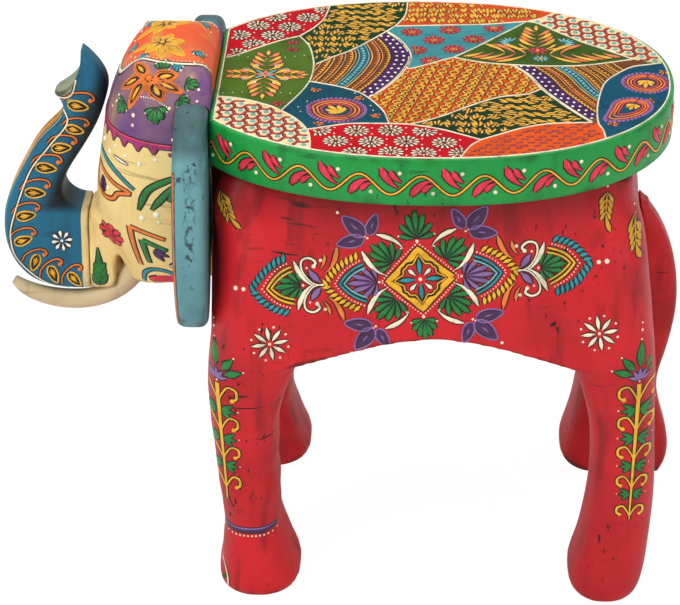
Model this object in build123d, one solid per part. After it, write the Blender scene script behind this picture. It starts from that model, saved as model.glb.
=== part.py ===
from build123d import *
import math
import os

# Carved elephant stool, in millimetres. +Z is up and the floor is Z = 0.
# The elephant faces -X, so its left side is -Y, and X = 0 lies midway between trunk and tail.
# It is a glued-up wooden carving. Four leg posts stand at the corners of a three by three grid
# of blocks, a board seat lies on top, and the head, trunk, ears, tusks and tail are added.

# ---- seat ----
SEAT_HEIGHT = 372.0           # floor to the sitting surface
SEAT_THICKNESS = 36.0
DRAWN_SEAT_HEIGHT = 372.0     # the seat height that the outlines and heights below are drawn for
LIFT = SEAT_HEIGHT - DRAWN_SEAT_HEIGHT   # how far head, tail and glue joints move with the seat
BODY_TOP = SEAT_HEIGHT - SEAT_THICKNESS
SEAT_CENTRE_X = 64.0
SEAT_REACH = 182.5            # from the seat's centre to its rounded rear end
SEAT_HALF_WIDTH = 147.5
SEAT_FULLNESS = 2.2           # 2 is an ellipse, more is squarer
SEAT_EDGE_ROUND = 2.5
SEAT_BOARD_HALF = 58.0        # half the width of the middle board

# ---- body ----
NECK_FACE_X = -91.0           # flat front where the seat and the body meet the head
BODY_CENTRE_X = 63.0
BODY_TOP_REACH = 155.0        # from the body's centre to its rear, under the seat
BODY_TOP_HALF_WIDTH = 126.0
RUMP_SWELL = 16.0             # how much further back the body reaches at the belly
FLANK_SWELL = 12.0            # how much wider the body is at the belly, on each side
BODY_TOP_FULLNESS = 2.7
BELLY_FULLNESS = 6.0
BELLY_HEIGHT = 195.0          # floor to the underside at the legs
BELLY_RISE = 27.0             # how far the underside arches up between front and hind legs
BELLY_ARCH_FRONT_X = -37.0    # where that arch leaves the front legs
BELLY_ARCH_REAR_X = 187.0     # and where it meets the hind legs
BELLY_ARCH_SLOPE = 0.3        # slope of that arch where it leaves the legs
CHEST_RISE = 12.0             # how far the underside arches up between left and right legs
CHEST_ARCH_HALF = 50.0

# ---- glue joints of the body's blocks ----
FRONT_JOINT_X = -21.0
REAR_JOINT_X = 157.0
SIDE_JOINT_Y = 50.0

# ---- legs: height, outer and inner X, outer and inner distance from the middle plane ----
# (the heights are drawn ones, and grow in proportion with the body's top)
DRAWN_BODY_TOP = BODY_TOP - LIFT
LEG_FULLNESS = 2.6
FRONT_LEG = [
    (0.0, -84.0, -33.0, 136.0, 53.0),
    (6.0, -89.0, -26.0, 139.5, 49.5),
    (14.0, -88.0, -28.5, 139.5, 49.5),
    (28.0, -86.0, -34.0, 137.0, 51.5),
    (42.0, -85.0, -38.5, 134.0, 54.0),
    (62.0, -85.0, -41.0, 132.5, 55.0),
    (100.0, -89.5, -42.2, 132.7, 54.7),
    (140.0, -93.5, -41.5, 134.5, 53.0),
    (172.0, -95.0, -33.0, 136.3, 49.0),
    (206.0, -92.3, -17.0, 137.5, 40.0),
    (236.0, -89.0, -8.0, 135.7, 31.5),
    (280.0, -87.0, -13.5, 122.0, 40.0),
    (DRAWN_BODY_TOP, -78.0, -25.0, 96.0, 48.0),
]
HIND_LEG = [
    (0.0, 227.0, 182.0, 136.0, 53.0),
    (6.0, 232.5, 177.0, 139.5, 49.5),
    (14.0, 234.5, 178.0, 139.5, 49.5),
    (28.0, 236.5, 182.0, 137.0, 51.5),
    (52.0, 238.5, 186.5, 133.0, 55.0),
    (82.0, 240.0, 190.3, 132.5, 55.0),
    (114.0, 239.0, 190.7, 133.0, 54.5),
    (150.0, 237.5, 186.5, 135.0, 52.5),
    (182.0, 236.5, 177.0, 137.0, 48.0),
    (207.0, 234.5, 165.0, 137.5, 42.0),
    (238.0, 231.0, 142.0, 136.0, 34.0),
    (266.0, 227.5, 143.0, 130.0, 38.0),
    (295.0, 222.5, 146.0, 119.0, 42.0),
    (DRAWN_BODY_TOP, 214.0, 150.0, 102.0, 48.0),
]

# ---- head ----
HEAD_CROWN_RISE = 33.0        # crown above the sitting surface
CROWN_FRONT_X = -118.0        # where the crown is highest
CROWN_BACK_DROP = 17.0        # from there to the back edge of the head
CROWN_SIDE_DROP = 48.0        # and to the side edges
HEAD_FULLNESS = 2.5
HEAD_HALF_WIDTH = 79.0
JAW_LOW_Z = 202.5             # the jaw's underside where the trunk begins
JAW_BACK_Z = 232.0            # and where it meets the body
FACE_EDGE_ROUND = 10.0
# height, how far the face stands in front of the neck face, half width
HEAD_SECTIONS = [
    (200.0, 78.0, 54.0),
    (250.0, 87.0, 62.0),
    (300.0, 90.0, 70.0),
    (335.0, 84.5, 76.0),
    (352.0, 81.0, 78.5),
    (372.0, 74.0, 79.0),
    (425.0, 56.0, 74.0),
]
FACE_TOP_Z = 350.0            # where the face turns into the brow
BROW = (-157.0, 386.0)        # X and Z of the brow, between the face and the crown

# ---- trunk: outlines in X and Z ----
TRUNK_JOINT_X = -189.0        # glue joint to the boss on the face
TRUNK_ROOT_BOTTOM = 201.5
TRUNK_ROOT_TOP = 266.0
TRUNK_ROOT_HALF = 28.0        # half thickness across at the bottom of the root
TRUNK_TIP_HALF = 11.5         # and at the tip
TRUNK_OUTER = [(-206.0, 201.5), (-228.0, 206.0), (-245.0, 220.5), (-253.5, 247.0), (-250.0, 272.0),
               (-237.0, 299.0), (-220.0, 325.5), (-206.0, 343.5)]
TRUNK_LIP = (-213.0, 357.5)
TRUNK_SCOOP = (-198.0, 366.5)  # the hollow between the lip and the tip
TRUNK_TIP = (-191.0, 393.0)
TRUNK_INNER = [(-178.5, 380.0), (-172.0, 364.0), (-174.3, 350.0), (-182.0, 331.0),
               (-194.0, 311.0), (-206.0, 290.0), (-208.0, 278.0), (-200.0, 268.0)]
TRUNK_FRONT_ROUND = 9.0
TRUNK_BACK_ROUND = 8.0
BOSS_DEPTH = 20.0             # how far the boss runs back into the head

# ---- ears ----
EAR_FRONT_X = -115.5
EAR_THICKNESS = 24.0
EAR_HOUSING_Y = 62.0          # bottom of the housing chiselled into the head for each ear
EAR_ROOT_TOP = 367.0
EAR_ROOT_BOTTOM = 261.0
EAR_EDGE_ROUND = 7.0
# distance from the middle plane and height, from the top of the root round to its bottom
EAR_OUTLINE = [(84.0, 382.0), (112.0, 367.0), (133.0, 328.0), (138.0, 281.0), (128.0, 239.0),
               (111.0, 218.0), (92.0, 227.0), (80.0, 247.0)]

# ---- tusks: centre line from the socket in the jaw to the tip, and radius ----
TUSK_OFFSET_Y = 17.0
TUSK_SECTIONS = [(-154.0, 219.0, 8.0), (-170.0, 199.8, 7.8), (-188.0, 191.8, 7.6),
                 (-210.0, 190.4, 7.6), (-232.0, 195.4, 6.6), (-248.0, 206.4, 3.6)]

# ---- tail: outer edge from the rump down to the end of the tuft, then back up inside ----
TAIL_OUTER = [(240.0, 260.5), (251.4, 235.0), (257.5, 196.0), (255.5, 169.0), (250.0, 143.0),
              (246.0, 123.0), (248.0, 103.5), (255.5, 76.0), (250.0, 38.0)]
TAIL_INNER = [(239.0, 46.0), (231.0, 74.0), (228.0, 106.0), (228.0, 140.0), (231.5, 172.0)]
TAIL_ROOT_TOP = 280.0
TAIL_SEAT_BOTTOM = 203.0      # the tail lies on the rump from here to its root
TAIL_RUMP_X = 234.0           # the rump's rear at the belly that the tail is drawn for
TAIL_THICKNESS = 24.0
TAIL_EDGE_ROUND = 6.0
TAIL_TENON_LENGTH = 18.0
TAIL_TENON_HEIGHT = 18.0
TAIL_TENON_THICKNESS = 14.0
TAIL_GAP = 0.3                # between the tail's straight back and the rump

# ---- dowels ----
GLUE_GAP = 0.1                # all round a dowel, a tenon or a housing
DOWEL_RADIUS = 6.0
DOWEL_REACH = 22.0            # into each of the two pieces it joins
DOWEL_END_ROOM = 1.0
SEAT_DOWEL_REACH = 18.0
SEAT_DOWEL_Y = 82.0           # in the outer boards
SEAT_DOWEL_FRONT_X = -58.0
SEAT_DOWEL_REAR_X = 190.0
BODY_DOWEL_Z = 285.0 + LIFT
NECK_DOWEL_Y = 26.0
NECK_DOWEL_Z = 300.0 + LIFT
EAR_DOWEL_Z = 320.0 + LIFT
EAR_DOWEL_REACH = 14.0

HEAD_CROWN = DRAWN_SEAT_HEIGHT + HEAD_CROWN_RISE
FAR = 1000.0                  # larger than the stool, for cutting


def superellipse(plane, half_x, half_y, fullness, count=24):
    """A face on a plane, from an ellipse (fullness 2) to nearly a rectangle (7)."""
    points = []
    for i in range(count):
        c, s = math.cos(2 * math.pi * i / count), math.sin(2 * math.pi * i / count)
        reach = (abs(c) ** fullness + abs(s) ** fullness) ** (-1 / fullness)
        points.append((half_x * reach * c, half_y * reach * s))
    return plane * make_face(Spline(*points, periodic=True))


def curved_edges(shape, x):
    """The curved edges that pass from one side of an X to the other."""
    edges = shape.edges().filter_by(GeomType.BSPLINE)
    return [edge for edge in edges if edge.bounding_box().min.X < x < edge.bounding_box().max.X]


def block(x_range, y_range, z_range):
    """A box given by its lower and upper limits."""
    sizes = [high - low for low, high in (x_range, y_range, z_range)]
    middle = [(high + low) / 2 for low, high in (x_range, y_range, z_range)]
    return Pos(*middle) * Box(*sizes)


def peg(centre, axis, reach, radius):
    """A cylinder along an axis, reaching equally far both ways from its centre."""
    plane = Plane(origin=centre, z_dir=axis)
    return plane * Cylinder(radius, 2 * reach)


def bore(centre, axis, reach, radius):
    """The hole for a peg, with room for glue around it and at its ends."""
    return peg(centre, axis, reach + DOWEL_END_ROOM, radius + GLUE_GAP)


def side_profile(wire):
    """A prism right across the stool from a closed wire drawn in X and Z."""
    face = make_face(wire)
    return extrude(Plane.XZ * face, FAR / 2, both=True)


# ---------------------------------------------------------------- where the dowels are

def mirrored(points):
    """Each point and its mirror image across the middle plane."""
    return [(x, side * y, z) for x, y, z in points for side in (-1, 1)]


DOWEL_ROWS_X = [(NECK_FACE_X + FRONT_JOINT_X) / 2, (FRONT_JOINT_X + REAR_JOINT_X) / 2,
                (REAR_JOINT_X + BODY_CENTRE_X + BODY_TOP_REACH) / 2]
CROSS_DOWELS = mirrored([(x, SIDE_JOINT_Y, BODY_DOWEL_Z) for x in DOWEL_ROWS_X])
LONG_DOWELS = [(x, y, BODY_DOWEL_Z) for x in (FRONT_JOINT_X, REAR_JOINT_X)
               for y in (-SEAT_DOWEL_Y, 0.0, SEAT_DOWEL_Y)]
SEAT_DOWELS = [(x, y, BODY_TOP) for x in (SEAT_DOWEL_FRONT_X, SEAT_DOWEL_REAR_X)
               for y in (-SEAT_DOWEL_Y, 0.0, SEAT_DOWEL_Y)]
NECK_DOWELS = mirrored([(NECK_FACE_X, NECK_DOWEL_Y, NECK_DOWEL_Z)])
TRUNK_DOWEL = (TRUNK_JOINT_X, 0.0, (TRUNK_ROOT_BOTTOM + TRUNK_ROOT_TOP) / 2 + LIFT)
EAR_DOWELS = mirrored([(EAR_FRONT_X + EAR_THICKNESS / 2, EAR_HOUSING_Y, EAR_DOWEL_Z)])


def bores(points, axis, reach):
    return Compound([bore(point, axis, reach, DOWEL_RADIUS) for point in points])


# ---------------------------------------------------------------- seat

def seat_slab():
    """The whole oval seat with its flat front, before it is sawn into boards."""
    outline = superellipse(Plane((SEAT_CENTRE_X, 0, BODY_TOP)), SEAT_REACH, SEAT_HALF_WIDTH,
                           SEAT_FULLNESS)
    slab = extrude(outline, SEAT_THICKNESS)
    slab = fillet(slab.edges().filter_by(Plane.XY), SEAT_EDGE_ROUND)
    return slab - block((-FAR, NECK_FACE_X), (-FAR, FAR), (0, FAR))


def seat_boards():
    slab = seat_slab() - bores(SEAT_DOWELS, (0, 0, 1), SEAT_DOWEL_REACH)
    high = (0, FAR)
    return {
        "seat_left_board": slab & block((-FAR, FAR), (-FAR, -SEAT_BOARD_HALF), high),
        "seat_middle_board": slab & block((-FAR, FAR), (-SEAT_BOARD_HALF, SEAT_BOARD_HALF), high),
        "seat_right_board": slab & block((-FAR, FAR), (SEAT_BOARD_HALF, FAR), high),
    }


# ---------------------------------------------------------------- body and legs

def barrel():
    """The body between seat and legs: rounded under the seat, squarer and wider at the belly."""
    top = superellipse(Plane((BODY_CENTRE_X, 0, BODY_TOP)), BODY_TOP_REACH, BODY_TOP_HALF_WIDTH,
                       BODY_TOP_FULLNESS, 40)
    belly = superellipse(Plane((BODY_CENTRE_X, 0, BELLY_HEIGHT)), BODY_TOP_REACH + RUMP_SWELL,
                         BODY_TOP_HALF_WIDTH + FLANK_SWELL, BELLY_FULLNESS, 40)
    shape = loft([belly, top])
    return shape - block((-FAR, NECK_FACE_X), (-FAR, FAR), (0, FAR))


def belly_arch():
    """What is cut away under the belly, seen from the side."""
    start, end = (BELLY_ARCH_FRONT_X, BELLY_HEIGHT), (BELLY_ARCH_REAR_X, BELLY_HEIGHT)
    top = ((start[0] + end[0]) / 2, BELLY_HEIGHT + BELLY_RISE)
    arch = Spline(start, top, end, tangents=[(1, BELLY_ARCH_SLOPE), (1, -BELLY_ARCH_SLOPE)])
    floor = Polyline(end, (end[0], 0), (start[0], 0), start)
    return side_profile(arch + floor)


def chest_arch():
    """What is cut away between the left and the right legs, seen from the front."""
    start, end = (-CHEST_ARCH_HALF, BELLY_HEIGHT), (CHEST_ARCH_HALF, BELLY_HEIGHT)
    arch = ThreePointArc(start, (0, BELLY_HEIGHT + CHEST_RISE), end)
    floor = Polyline(end, (CHEST_ARCH_HALF, 0), (-CHEST_ARCH_HALF, 0), start)
    return extrude(Plane.YZ * make_face(arch + floor), FAR, both=True)


def leg(rows):
    """A carved leg on the left side, lofted through its rows."""
    sections = []
    for z, outer_x, inner_x, outer_y, inner_y in rows:
        height = z * BODY_TOP / DRAWN_BODY_TOP
        middle = ((outer_x + inner_x) / 2, -(outer_y + inner_y) / 2, height)
        half_x, half_y = abs(outer_x - inner_x) / 2, (outer_y - inner_y) / 2
        sections.append(superellipse(Plane(middle), half_x, half_y, LEG_FULLNESS, 16))
    return loft(sections)


def rump_x(z):
    """How far back the rump reaches on the middle plane at a height."""
    down = (BODY_TOP - z) / (BODY_TOP - BELLY_HEIGHT)
    return BODY_CENTRE_X + BODY_TOP_REACH + RUMP_SWELL * down


def drilled(piece):
    """A piece of the body with its share of the dowel holes."""
    piece = piece - bores(SEAT_DOWELS, (0, 0, 1), SEAT_DOWEL_REACH)
    piece = piece - bores(CROSS_DOWELS, (0, 1, 0), DOWEL_REACH)
    piece = piece - bores(LONG_DOWELS, (1, 0, 0), DOWEL_REACH)
    return piece - bores(NECK_DOWELS, (1, 0, 0), DOWEL_REACH)


def body_blocks():
    """The nine blocks of the body, four of them with a leg, divided at the glue joints."""
    body = barrel() - belly_arch() - chest_arch()
    lengths = {"front": (-FAR, FRONT_JOINT_X), "middle": (FRONT_JOINT_X, REAR_JOINT_X),
               "rear": (REAR_JOINT_X, FAR)}
    sides, cores = {}, {}
    for along, x_range in lengths.items():
        outer = block(x_range, (-FAR, -SIDE_JOINT_Y), (-FAR, FAR))
        piece = body & outer
        if along != "middle":
            rows = FRONT_LEG if along == "front" else HIND_LEG
            piece = (piece + leg(rows)) & outer
        sides[along] = drilled(piece)
        cores[along] = drilled(body & block(x_range, (-SIDE_JOINT_Y, SIDE_JOINT_Y), (-FAR, FAR)))
    parts = {"chest_block": cores["front"], "belly_core": cores["middle"],
             "rump_block": cores["rear"] - tail_tenon(GLUE_GAP)}
    for along, name in (("front", "front_{}_leg"), ("middle", "{}_flank"), ("rear", "rear_{}_leg")):
        parts[name.format("left")] = sides[along]
        parts[name.format("right")] = mirror(sides[along], Plane.XZ)
    return parts


# ---------------------------------------------------------------- head

def head_side():
    """The head seen from the side: jaw, face, brow, crown and the flat back of the neck."""
    crown = Spline((NECK_FACE_X - HEAD_SECTIONS[4][1], FACE_TOP_Z), BROW, (CROWN_FRONT_X, HEAD_CROWN),
                   (NECK_FACE_X, HEAD_CROWN - CROWN_BACK_DROP))
    face_top, back = crown @ 0, crown @ 1
    rest = Polyline(back, (NECK_FACE_X, JAW_BACK_Z), (TRUNK_JOINT_X, JAW_LOW_Z),
                    (TRUNK_JOINT_X - FACE_EDGE_ROUND, JAW_LOW_Z + FACE_EDGE_ROUND),
                    (TRUNK_JOINT_X - FACE_EDGE_ROUND, FACE_TOP_Z - FACE_EDGE_ROUND), face_top)
    return side_profile(crown + rest)


def head_front():
    """The head seen from the front: a broad dome that narrows to the jaw."""
    edge = HEAD_CROWN - CROWN_SIDE_DROP
    dome = ThreePointArc((-HEAD_HALF_WIDTH, edge), (0, HEAD_CROWN + 0.5), (HEAD_HALF_WIDTH, edge))
    rest = Polyline((HEAD_HALF_WIDTH, edge), (HEAD_HALF_WIDTH, 0), (-HEAD_HALF_WIDTH, 0),
                    (-HEAD_HALF_WIDTH, edge))
    return extrude(Plane.YZ * make_face(dome + rest), FAR, both=True)


def trunk_half(z):
    """Half the trunk's thickness at a height; it tapers evenly towards the tip."""
    share = (z - TRUNK_ROOT_BOTTOM) / (TRUNK_TIP[1] - TRUNK_ROOT_BOTTOM)
    return TRUNK_ROOT_HALF + (TRUNK_TIP_HALF - TRUNK_ROOT_HALF) * share


def tapered_slab(z_low, z_high, depth):
    """A wedge centred on the middle plane, as thick as the trunk at each height."""
    low, high = trunk_half(z_low), trunk_half(z_high)
    outline = Polyline((-low, z_low), (low, z_low), (high, z_high), (-high, z_high), close=True)
    return extrude(Plane.YZ * make_face(outline), depth)


def boss():
    """The part of the face that the trunk is glued to, with the section of the trunk's root."""
    wedge = tapered_slab(TRUNK_ROOT_BOTTOM, TRUNK_ROOT_TOP, BOSS_DEPTH)
    along = wedge.edges().filter_by(Axis.X).sort_by(Axis.Z)
    wedge = fillet(along[:2], TRUNK_FRONT_ROUND)
    along = wedge.edges().filter_by(Axis.X).sort_by(Axis.Z)
    wedge = fillet(along[-2:], TRUNK_BACK_ROUND)
    return Pos(TRUNK_JOINT_X, 0, 0) * wedge


def ear_board(gap=0.0):
    """The left ear's outline sawn from a board, or the slot for it where a gap is given."""
    root = gap - EAR_HOUSING_Y
    upper, lower = (root, EAR_ROOT_TOP), (root, EAR_ROOT_BOTTOM)
    lobe = Spline(upper, *[(-y, z) for y, z in EAR_OUTLINE], lower)
    face = make_face(lobe + Line(lower, upper))
    return Pos(EAR_FRONT_X - gap, 0, LIFT) * extrude(Plane.YZ * face, EAR_THICKNESS + 2 * gap)


def ear(side):
    """A flat board ear with rounded edges, let into the head at its root."""
    board = ear_board()
    board = fillet(board.edges().filter_by(GeomType.BSPLINE), EAR_EDGE_ROUND)
    if side > 0:
        board = mirror(board, Plane.XZ)
    return board - bores(EAR_DOWELS, (0, 1, 0), EAR_DOWEL_REACH)


def head_block():
    """The head with its boss for the trunk, and the slots and sockets for ears and tusks."""
    sections = [superellipse(Plane((NECK_FACE_X, 0, z)), reach, half, HEAD_FULLNESS)
                for z, reach, half in HEAD_SECTIONS]
    head = Pos(0, 0, LIFT) * ((loft(sections) & head_side() & head_front()) + boss())
    head = head - block((NECK_FACE_X, FAR), (-FAR, FAR), (-FAR, FAR))
    slot = ear_board(GLUE_GAP)
    head = head - slot - mirror(slot, Plane.XZ) - tusk(-1, GLUE_GAP) - tusk(1, GLUE_GAP)
    head = head - bores(EAR_DOWELS, (0, 1, 0), EAR_DOWEL_REACH)
    head = head - bores(NECK_DOWELS, (1, 0, 0), DOWEL_REACH)
    return head - bores([TRUNK_DOWEL], (1, 0, 0), DOWEL_REACH)


def tusk(side, gap=0.0):
    """A tusk lofted through circles along its curve, or its socket where a gap is given."""
    sections = []
    for i, (x, z, radius) in enumerate(TUSK_SECTIONS):
        before, after = TUSK_SECTIONS[max(i - 1, 0)], TUSK_SECTIONS[min(i + 1, len(TUSK_SECTIONS) - 1)]
        along = (after[0] - before[0], 0, after[1] - before[1])
        plane = Plane((x, side * TUSK_OFFSET_Y, z + LIFT), x_dir=(0, 1, 0), z_dir=along)
        sections.append(plane * make_face(CenterArc((0, 0), radius + gap, 0, 360)))
    return loft(sections)


def trunk():
    """The raised trunk: sawn to its S-shaped outline, tapered to the tip, edges rounded."""
    bottom, top = (TRUNK_JOINT_X, TRUNK_ROOT_BOTTOM), (TRUNK_JOINT_X, TRUNK_ROOT_TOP)
    front = Spline(bottom, *TRUNK_OUTER, TRUNK_LIP)
    nostril = Spline(TRUNK_LIP, TRUNK_SCOOP, TRUNK_TIP)
    back = Spline(TRUNK_TIP, *TRUNK_INNER, top)
    outline = make_face(front + nostril + back + Line(top, bottom))
    form = Pos(0, TRUNK_ROOT_HALF * 2, 0) * extrude(Plane.XZ * outline, TRUNK_ROOT_HALF * 4)
    margin = TRUNK_ROOT_HALF
    wedge = tapered_slab(TRUNK_ROOT_BOTTOM - margin, TRUNK_TIP[1] + margin, 2 * FAR)
    form = form & (Pos(-FAR, 0, 0) * wedge)
    foremost = min(x for x, _ in TRUNK_OUTER)
    hindmost = max(x for x, _ in TRUNK_INNER)
    form = fillet(curved_edges(form, foremost + 1), TRUNK_FRONT_ROUND)
    form = fillet(curved_edges(form, hindmost - 1), TRUNK_BACK_ROUND)
    return Pos(0, 0, LIFT) * form - bores([TRUNK_DOWEL], (1, 0, 0), DOWEL_REACH)


# ---------------------------------------------------------------- tail

def tail_tenon(gap=0.0):
    """The tongue at the tail's root, or its pocket in the rump where a gap is given."""
    z_high = TAIL_ROOT_TOP + LIFT - TAIL_EDGE_ROUND
    z_low = z_high - TAIL_TENON_HEIGHT
    half = TAIL_TENON_THICKNESS / 2 + gap
    start = rump_x(z_low)
    return block((start - TAIL_TENON_LENGTH - gap, start + TAIL_EDGE_ROUND), (-half, half),
                 (z_low - gap, z_high + gap))


def tail():
    """The hanging tail: straight where it lies on the rump, then curved, with a tuft."""
    top, bottom = TAIL_ROOT_TOP + LIFT, TAIL_SEAT_BOTTOM + LIFT
    root = (rump_x(top) + TAIL_GAP, top)
    heel = (rump_x(bottom) + TAIL_GAP, bottom)
    shift = BODY_CENTRE_X + BODY_TOP_REACH + RUMP_SWELL - TAIL_RUMP_X
    outer = Spline(root, *[(x + shift, z + LIFT) for x, z in TAIL_OUTER])
    inner = Spline(outer @ 1, *[(x + shift, z + LIFT) for x, z in TAIL_INNER], heel)
    face = make_face(outer + inner + Line(heel, root))
    strip = Pos(0, TAIL_THICKNESS / 2, 0) * extrude(Plane.XZ * face, TAIL_THICKNESS)
    strip = fillet(strip.edges().filter_by(GeomType.BSPLINE), TAIL_EDGE_ROUND)
    return strip + tail_tenon()


# ---------------------------------------------------------------- everything

def dowels():
    def pegs(points, axis, reach):
        return [peg(point, axis, reach, DOWEL_RADIUS) for point in points]

    return {
        "seat_dowels": pegs(SEAT_DOWELS, (0, 0, 1), SEAT_DOWEL_REACH),
        "body_dowels": (pegs(CROSS_DOWELS, (0, 1, 0), DOWEL_REACH)
                        + pegs(LONG_DOWELS, (1, 0, 0), DOWEL_REACH)),
        "neck_dowels": pegs(NECK_DOWELS, (1, 0, 0), DOWEL_REACH),
        "trunk_dowel": pegs([TRUNK_DOWEL], (1, 0, 0), DOWEL_REACH),
        "ear_dowels": pegs(EAR_DOWELS, (0, 1, 0), EAR_DOWEL_REACH),
    }


def build():
    """Every piece of the stool by name."""
    parts = {}
    parts.update(seat_boards())
    parts.update(body_blocks())
    parts["head_block"] = head_block()
    parts["trunk"] = trunk()
    for side, word in ((-1, "left"), (1, "right")):
        parts[f"{word}_ear"] = ear(side)
        parts[f"{word}_tusk"] = tusk(side)
    parts["tail"] = tail()
    parts.update(dowels())
    return parts


os.makedirs("parts", exist_ok=True)
for name, shape in build().items():
    solids = shape if isinstance(shape, list) else shape.solids()
    export_step(Compound(list(solids)), f"parts/{name}.step")
    print(name, len(solids), round(sum(solid.volume for solid in solids)))
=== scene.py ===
import logging
import math
from dataclasses import dataclass
from enum import Enum
from functools import cache
from typing import Callable, Sequence

import bpy
import numpy as np
from bpy.types import (GeometryNodeTree, ID, Material, Mesh, Node, NodeSocket, NodeTree, Object,
                       World)
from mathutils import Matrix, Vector, noise
from mathutils.bvhtree import BVHTree


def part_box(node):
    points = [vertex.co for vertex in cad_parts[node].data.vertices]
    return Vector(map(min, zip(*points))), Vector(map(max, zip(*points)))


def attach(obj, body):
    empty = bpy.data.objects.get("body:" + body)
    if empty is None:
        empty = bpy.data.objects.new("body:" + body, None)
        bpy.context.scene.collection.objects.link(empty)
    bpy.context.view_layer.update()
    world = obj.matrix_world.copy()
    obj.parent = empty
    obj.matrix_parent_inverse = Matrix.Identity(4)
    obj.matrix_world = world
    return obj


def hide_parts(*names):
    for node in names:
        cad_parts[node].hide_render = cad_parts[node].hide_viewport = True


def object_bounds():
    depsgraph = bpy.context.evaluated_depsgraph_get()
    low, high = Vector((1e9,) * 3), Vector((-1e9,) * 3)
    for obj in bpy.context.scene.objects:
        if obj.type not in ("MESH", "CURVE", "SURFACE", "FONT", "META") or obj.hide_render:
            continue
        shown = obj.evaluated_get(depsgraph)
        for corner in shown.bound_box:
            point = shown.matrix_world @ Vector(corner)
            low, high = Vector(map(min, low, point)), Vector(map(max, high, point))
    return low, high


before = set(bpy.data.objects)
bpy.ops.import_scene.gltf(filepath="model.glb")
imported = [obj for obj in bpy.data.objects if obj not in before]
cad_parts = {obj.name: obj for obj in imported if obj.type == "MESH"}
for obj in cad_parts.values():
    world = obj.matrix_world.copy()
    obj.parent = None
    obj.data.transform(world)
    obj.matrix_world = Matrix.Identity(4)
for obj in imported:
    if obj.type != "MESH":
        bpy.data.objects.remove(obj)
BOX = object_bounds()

# The looks of a carved elephant stool: softened wooden skins over the CAD solids, painted and
# worn, with raised cone-paint ornament. Outlines and ornament are drawn in millimetres and
# turned into metres when they are laid on the wood.

LOG = logging.getLogger("stool")
MM = 0.001
FAR = 300.0          # how far off a ray starts, in millimetres
GRAZING = 0.12       # a ray that meets a form at a flatter angle than this is left out
JUMP = 0.012         # a laid stroke is split where it moves further than this, in metres

WHITE = (1.0, 1.0, 1.0, 1.0)

Points = Sequence[tuple[float, float]]
PointRule = Callable[[np.ndarray], np.ndarray]


# ---- driving sizes

@dataclass(frozen=True)
class SeatSize:
    """The seat board, in millimetres."""

    top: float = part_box("seat_middle_board")[1][2] / MM
    bottom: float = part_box("seat_middle_board")[0][2] / MM
    front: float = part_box("seat_middle_board")[0][0] / MM
    centre_x: float = 64.0
    fullness: float = 2.2
    inset: float = 0.9
    arris: float = 1.6

    @property
    def reach(self) -> float:
        """From the centre to the rounded rear end."""
        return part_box("seat_middle_board")[1][0] / MM - self.centre_x - self.inset

    @property
    def half_width(self) -> float:
        """From the middle plane to the side."""
        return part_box("seat_right_board")[1][1] / MM - self.inset


SEAT = SeatSize()


# ---- colours

def srgb(code: str) -> tuple[float, float, float, float]:
    """Turns a six-digit sRGB code into linear light.

    Args:
        code: red, green and blue as hexadecimal digits.

    Returns:
        The linear colour with full opacity.
    """
    values = [int(code[i:i + 2], 16) / 255 for i in (0, 2, 4)]
    linear = [v / 12.92 if v <= 0.04045 else ((v + 0.055) / 1.055) ** 2.4 for v in values]
    return (*linear, 1.0)


class Paint(Enum):
    """The colours of the raised cone paint."""

    CREAM = "efe3c4"
    YELLOW = "eeb01c"
    GOLD = "cf9620"
    ORANGE = "e8782a"
    RED = "c8202c"
    PINK = "d84a62"
    MAGENTA = "a8286e"
    PURPLE = "482650"
    LILAC = "86639a"
    CORAL = "dc2c42"
    TEAL = "23909a"
    AQUA = "6fb2b4"
    GREEN = "1f7a34"
    DARK_GREEN = "0d3416"
    WHITE = "f4efe2"
    WASH = "241510"


@dataclass(frozen=True)
class Coat:
    """One coat of paint on the wood, and how it has worn."""

    name: str
    colour: str
    shade: str
    worn: str = "2a1610"
    wear: float = 0.5
    mottle: float = 0.5
    speck: float = 0.3
    roughness: float = 0.48
    sheen: float = 0.24


class Wiring:
    """A short way to add linked nodes to a node tree."""

    def __init__(self, tree: NodeTree) -> None:
        self.tree = tree

    def add(self, kind: str, values: dict | None = None, **settings: object) -> Node:
        """Adds a node, sets its properties, and sets or links its inputs.

        Args:
            kind: the node's type.
            values: for each input a constant, or the output that feeds it.
            settings: the node's own properties.

        Returns:
            The node.
        """
        node = self.tree.nodes.new(kind)
        for label, value in settings.items():
            setattr(node, label, value)
        for label, value in (values or {}).items():
            if isinstance(value, NodeSocket):
                self.tree.links.new(value, node.inputs[label])
            else:
                node.inputs[label].default_value = value
        return node


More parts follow.
